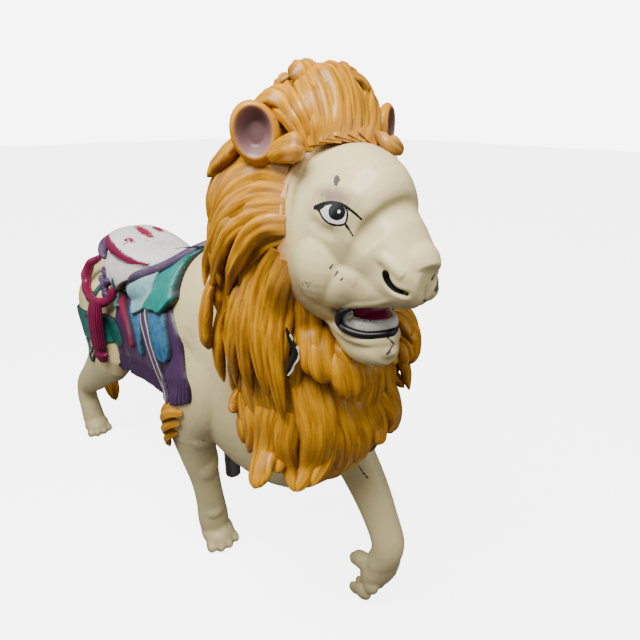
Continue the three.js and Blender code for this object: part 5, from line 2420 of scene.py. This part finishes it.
@dataclass
class Saddle:
    """The saddle: its tree, the worn white seat, and the purple rolls round both ends."""

    def tree(self) -> bpy.types.Object:
        """The saddle's tree, whose pale sides show as a skirt."""
        shell = loft(
            [
                (-330, 0, 770, 80, 60),
                (-240, 0, 778, 116, 72),
                (-110, 0, 774, 122, 70),
                (20, 0, 786, 118, 82),
                (130, 0, 812, 104, 88),
                (230, 0, 850, 78, 88),
                (300, 0, 890, 36, 56),
            ],
            70,
            56,
            power=2.1,
        )
        piece = clay("saddle_skirt", [shell], 4.0, 3)
        surface = Surface(piece)
        # painted shade, darker towards the skirt's lower edge
        surface.paint("hollow", np.clip(0.55 * step(800, 760, surface.points[:, 2]), 0, 1))
        coat = Enamel(
            "skirt_enamel", Paint.SEAT_WHITE, Paint.EYE_GREY, Paint.PALE_BLUE, 0.4, 6.0, 0.5, 0.55
        )
        finish_piece(piece, coat.material())
        return piece

    def seat(self) -> bpy.types.Object:
        """The padded seat's moulded shape: white on top, magenta round the rim."""
        shell = loft(
            [
                (-322, 0, 854, 30, 14),
                (-306, 0, 856, 66, 32),
                (-270, 0, 860, 98, 44),
                (-200, 0, 854, 112, 43),
                (-100, 0, 844, 108, 38),
                (0, 0, 842, 84, 31),
                (50, 0, 848, 50, 22),
                (72, 0, 852, 22, 12),
            ],
            90,
            64,
            power=2.3,
        )
        piece = clay("seat", [shell], 3.4, 4)
        surface = Surface(piece)
        surface.push((-130, 0, 900), 120, -7, (1.6, 1, 1))
        for side in (RIGHT, LEFT):
            surface.crease([(-20, side * 30, 870), (30, side * 34, 866), (64, side * 20, 858)], 12, -2.5)
        surface.write()
        rows = smooth_path([(-330, 884), (-270, 880), (-200, 869), (-100, 850), (0, 841), (80, 849)], 40)
        rim = surface.points[:, 2] - np.interp(surface.points[:, 0], rows[:, 0], rows[:, 1])
        bare = np.full(len(rim), 60.0)
        for x, y, long, wide in (
            (-208, 8, 54, 17), (-215, 62, 28, 14), (-161, -56, 20, 8), (-288, -18, 15, 12)
        ):
            away = np.hypot((surface.points[:, 0] - x) / long, (surface.points[:, 1] - y) / wide)
            bare = np.minimum(bare, (away - 1) * wide)
        surface.paint("bare", np.where(surface.normals[:, 2] > 0.5, bare, 60))
        surface.paint("rim", rim - 9)
        surface.paint("flange", rim + 34)
        # painted shade along the rim's line and below it
        surface.paint("hollow", np.clip(0.5 * soft(np.abs(rim) / 8) + 0.4 * step(4, -14, rim), 0, 1))
        coat = Enamel("seat_enamel", Paint.SEAT_WHITE, Paint.EYE_GREY, Paint.GUM, 0.38, 6.0, 0.6, 0.4)
        graph = Graph(coat.name)
        colour = coat.ground(graph)
        place = graph.add("TexCoord").outputs["Object"]
        # bare red undercoat in patches 20 to 50 mm long, stretched across the seat
        across = graph.add("Mapping", {}, {"Vector": place, "Scale": (1.0, 1.9, 1.0)})
        blotch = graph.add(
            "TexNoise", {}, {"Vector": across.outputs[0], "Scale": 13.0, "Detail": 4.0, "Roughness": 0.62}
        )
        red = graph.add("MapRange", {}, {"Value": blotch.outputs[0], "From Min": 0.66, "From Max": 0.675})
        colour = mix(graph, red.outputs[0], colour, srgb(Paint.SEAT_RED.value))
        colour = mix(graph, zone(graph, "bare", 1.5, 16), colour, srgb(Paint.SEAT_RED.value))
        colour = mix(graph, zone(graph, "rim", 3, 7), colour, srgb(Paint.MAGENTA.value))
        colour = mix(graph, zone(graph, "flange", 3, 2), colour, srgb(Paint.TRIM.value))
        finish_piece(piece, coat.close(graph, colour))
        return piece

    def roll(self, name: str, half: Rows) -> bpy.types.Object:
        """A purple roll that goes over the back from one side to the other.

        Args:
            name: the piece's name.
            half: its stations on the left, from its end to the middle.

        Returns:
            The piece.
        """
        right = [(x, -y, z, w, d) for x, y, z, w, d in half]
        shell = loft([*right, *half[:-1][::-1]], 90, 20, Axis.X)
        piece = clay(name, [shell], 3.2, 3)
        surface = Surface(piece)
        # painted shade on the underside
        surface.paint("hollow", np.clip(0.5 * np.clip(-surface.normals[:, 2], 0, 1) + 0.1, 0, 1))
        coat = Enamel(name + "_enamel", Paint.TRIM, Paint.BLACK, Paint.EYE_GREY, 0.34, 8.0, 0.5, 0.45)
        finish_piece(piece, coat.material())
        return piece

    def build(self) -> list[bpy.types.Object]:
        """Models and dresses the saddle.

        Returns:
            The pieces.
        """
        pommel = [
            (-34, 128, 800, 9, 9),
            (20, 124, 826, 13, 13),
            (90, 112, 852, 15, 14),
            (170, 92, 888, 15, 14),
            (240, 60, 930, 15, 14),
            (284, 22, 956, 14, 13),
            (292, 0, 962, 14, 13),
        ]
        cantle = [
            (-232, 120, 822, 7, 8), (-262, 114, 836, 14, 16), (-302, 86, 852, 17, 18),
            (-330, 40, 864, 15, 16), (-336, 0, 866, 14, 15),
        ]
        return [
            self.tree(), self.seat(), self.roll("pommel_roll", pommel), self.roll("cantle_roll", cantle)
        ]


@dataclass
class ShowSide:
    """What the right side alone carries: a rolled drape, its knot and a tassel."""

    def drape(self) -> bpy.types.Object:
        """The magenta roll that loops behind the saddle."""
        places = [
            (
                -316, 108, 804
            ), (-356, 126, 780), (-376, 139, 746), (-371, 150, 714), (-338, 161, 692), (-290, 168, 680),
            (-232, 168, 682), (-184, 161, 695), (-152, 151, 716), (-138, 141, 744), (-132, 128, 770),
        ]
        sizes = [10, 15, 18, 18, 17, 16, 16, 16, 15, 13, 10]
        rows = [(x, -y, z, w, w * 0.9) for (x, y, z), w in zip(places, sizes)]
        piece = clay("drape", [loft(rows, 90, 20, Axis.Z)], 3.0, 3)
        surface = Surface(piece)
        path = smooth_path([r[:3] for r in rows], 60)
        _, share = to_path(surface.points, path)
        # it is twisted: soft furrows wind round it
        around = np.arctan2(surface.normals[:, 2], surface.normals[:, 1])
        surface.points += surface.normals * (0.9 * np.sin(share * 46 + around))[:, None]
        surface.write()
        return self.dress(piece, "drape_enamel", Paint.MAGENTA, Paint.SEAT_RED)

    def knot(self) -> bpy.types.Object:
        """The purple bow at the drape's front end."""
        lumps = [
            egg((-196, -136, 786), (24, 13, 16), (0, 30, 0)),
            egg((-176, -144, 760), (22, 14, 14), (0, -30, 0)),
            egg((-196, -150, 740), (20, 13, 20), (0, 20, 0)),
            egg((-174, -156, 722), (18, 12, 16)),
            egg((-214, -146, 760), (14, 11, 16)),
        ]
        return self.dress(clay("knot", lumps, 2.8, 3), "knot_enamel", Paint.PURPLE, Paint.EYE_GREY)

    def tassel(self) -> bpy.types.Object:
        """The magenta tassel, cut with long lines, and the tie round it near its end."""
        rows = [
            (-212, -178, 692, 28, 16),
            (-216, -188, 645, 38, 19),
            (-222, -190, 590, 42, 20),
            (-225, -190, 545, 41, 20),
            (-225, -189, 522, 30, 17),
            (-224, -189, 503, 38, 19),
            (-219, -186, 478, 28, 12),
        ]
        shell = loft(rows, 80, 96, Axis.X)
        a = np.tile(np.arange(96), 80) * 2 * math.pi / 96
        middle = np.repeat(smooth_path([r[:3] for r in rows], 80), 96, axis=0)
        cut = 1 - 0.11 * np.abs(np.sin(a * 9)) ** 3
        shell.points = middle + (shell.points - middle) * cut[:, None]
        piece = piece_from("tassel", shell)
        # painted shade down the cut lines
        Surface(piece).paint("hollow", np.clip((1 - cut) * 7, 0, 0.8))
        return self.dress(piece, "tassel_enamel", Paint.MAGENTA, Paint.SEAT_RED, False)

    def dress(
        self, piece: bpy.types.Object, name: str, colour: Paint, light: Paint, painted_shade: bool = True
    ) -> bpy.types.Object:
        """Gives one of these pieces its enamel.

        Args:
            piece: the object.
            name: the finish's name.
            colour: its paint.
            light: the paint of its worn places.
            painted_shade: whether to paint shade on its underside.

        Returns:
            The piece.
        """
        if painted_shade:
            surface = Surface(piece)
            # painted shade on the underside
            surface.paint("hollow", np.clip(0.6 * np.clip(-surface.normals[:, 2], 0, 1) + 0.12, 0, 1))
        finish_piece(piece, Enamel(name, colour, Paint.BLACK, light, 0.32, 7.0, 0.45, 0.6).material())
        return piece

    def build(self) -> list[bpy.types.Object]:
        """Models and dresses the show side's pieces.

        Returns:
            The pieces.
        """
        return [self.drape(), self.knot(), self.tassel()]


# Floor, light and camera


@dataclass
class Studio:
    """The pale floor, the soft lights and the camera of the photograph.

    Attributes:
        view: where the photograph was taken from.
    """

    view: View = VIEW

    def camera(self) -> None:
        """Sets up the camera."""
        deselect()
        place = (np.array(self.view.place) + DRAWN_TO_PACKED) * MM
        bpy.ops.object.camera_add(location=tuple(place))
        camera = bpy.context.object
        heading = Matrix.Rotation(math.radians(self.view.yaw - 90), 3, "Z")
        tilt = Matrix.Rotation(math.radians(90 + self.view.pitch), 3, "X")
        lean = Matrix.Rotation(math.radians(self.view.roll), 3, "Z")
        camera.rotation_euler = (heading @ tilt @ lean).to_euler()
        camera.data.lens = self.view.lens
        camera.data.sensor_width = self.view.frame
        bpy.context.scene.camera = camera

    def light(self, name: str, place: tuple[float, float, float], size: float, power: float) -> None:
        """Adds one soft area light that looks at the lion.

        Args:
            name: the light's name.
            place: in metres.
            size: its side in metres.
            power: in watts.
        """
        deselect()
        bpy.ops.object.light_add(type="AREA", location=place)
        lamp = bpy.context.object
        lamp.name = name
        lamp.data.shape = "SQUARE"
        lamp.data.size = size
        lamp.data.energy = power
        way = np.array([0.1, 0.0, 0.7]) - np.array(place)
        flat = math.hypot(way[0], way[1])
        lamp.rotation_euler = (math.atan2(flat, -way[2]), 0, math.atan2(way[1], way[0]) - math.pi / 2)

    def floor(self) -> None:
        """Lays the pale floor."""
        deselect()
        bpy.ops.mesh.primitive_plane_add(size=40, location=(0, 0, -0.001))
        ground = bpy.context.object
        ground.name = "floor"
        graph = Graph("pale_floor")
        # pale to the camera, and darker to the lion, so that its underside keeps its shadow
        seen = graph.add("LightPath").outputs["Is Camera Ray"]
        tone = mix(graph, seen, srgb("6E6C68"), srgb("F6F5F2"))
        shader = graph.add(
            "BsdfPrincipled", {}, {"Base Color": tone, "Roughness": 0.85, "Specular IOR Level": 0.2}
        )
        shader.inputs["Emission Color"].default_value = (1.0, 1.0, 1.0, 1.0)
        graph.tree.links.new(
            graph.add("Math", {"operation": "MULTIPLY"}, {0: seen, 1: 5.0}).outputs[0],
            shader.inputs["Emission Strength"],
        )
        graph.add("OutputMaterial", {}, {"Surface": shader.outputs[0]})
        ground.data.materials.append(graph.material)

    def build(self) -> None:
        """Sets up the studio."""
        self.camera()
        self.floor()
        self.light("key", (0.75, -0.95, 2.85), 1.3, 118)
        self.light("fill", (2.9, 0.9, 1.7), 2.2, 22)
        self.light("side", (-1.3, -2.9, 2.3), 2.0, 42)
        graph = Graph("studio", world=True)
        # the wall is white to the camera and gives off only a little light
        seen = graph.add("LightPath").outputs["Is Camera Ray"]
        strength = graph.add("MapRange", {}, {"Value": seen, "To Min": 0.24, "To Max": 7.0})
        wall = graph.add("Background", {}, {"Color": (1.0, 1.0, 1.0, 1.0), "Strength": strength.outputs[0]})
        graph.add("OutputWorld", {}, {"Surface": wall.outputs[0]})
        bpy.context.scene.world = graph.material


def steel(name: str) -> bpy.types.Material:
    """Drawn steel tube, gone dull: its scratches run round it, and it blurs what it reflects."""
    graph = Graph(name)
    place = graph.add("TexCoord").outputs["Object"]
    stretched = graph.add("Mapping", {}, {"Vector": place, "Scale": (1, 1, 30)})
    scratches = graph.add("TexNoise", {}, {"Vector": stretched.outputs[0], "Scale": 40.0, "Detail": 4.0})
    blotch = graph.add("TexNoise", {}, {"Vector": place, "Scale": 60.0, "Detail": 4.0})
    rust = graph.add(
        "MapRange", {}, {"Value": blotch.outputs[0], "From Min": 0.58, "From Max": 0.7, "To Max": 0.7}
    )
    colour = mix(graph, rust.outputs[0], srgb(Paint.STEEL.value), srgb("5A4636"))
    rough = graph.add("MapRange", {}, {"Value": scratches.outputs[0], "To Min": 0.38, "To Max": 0.62})
    bump = graph.add("Bump", {}, {"Strength": 0.2, "Distance": 0.0003, "Height": scratches.outputs[0]})
    shader = graph.add(
        "BsdfPrincipled",
        {},
        {"Base Color": colour, "Metallic": 1.0, "Roughness": rough.outputs[0], "Normal": bump.outputs[0]},
    )
    graph.add("OutputMaterial", {}, {"Surface": shader.outputs[0]})
    return graph.material


def dress_tube() -> None:
    """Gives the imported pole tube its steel."""
    tube = frame["nodes"]["pole_tube"]
    tube.data.materials.clear()
    tube.data.materials.append(steel("dull_steel"))


def main() -> None:
    """Builds the lion, piece by piece."""
    logging.basicConfig(level=logging.INFO, format="%(message)s")
    Studio().build()
    body = Body().build()
    Head().build()
    Mouth().build()
    mane = Mane()
    mane.build()
    mane.tufts()
    mane.broken()
    skirt, *_ = Saddle().build()
    for side in (RIGHT, LEFT):
        Relief(side).build([body, skirt])
    ShowSide().build()
    dress_tube()
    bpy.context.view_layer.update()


if __name__ == "__main__":
    main()
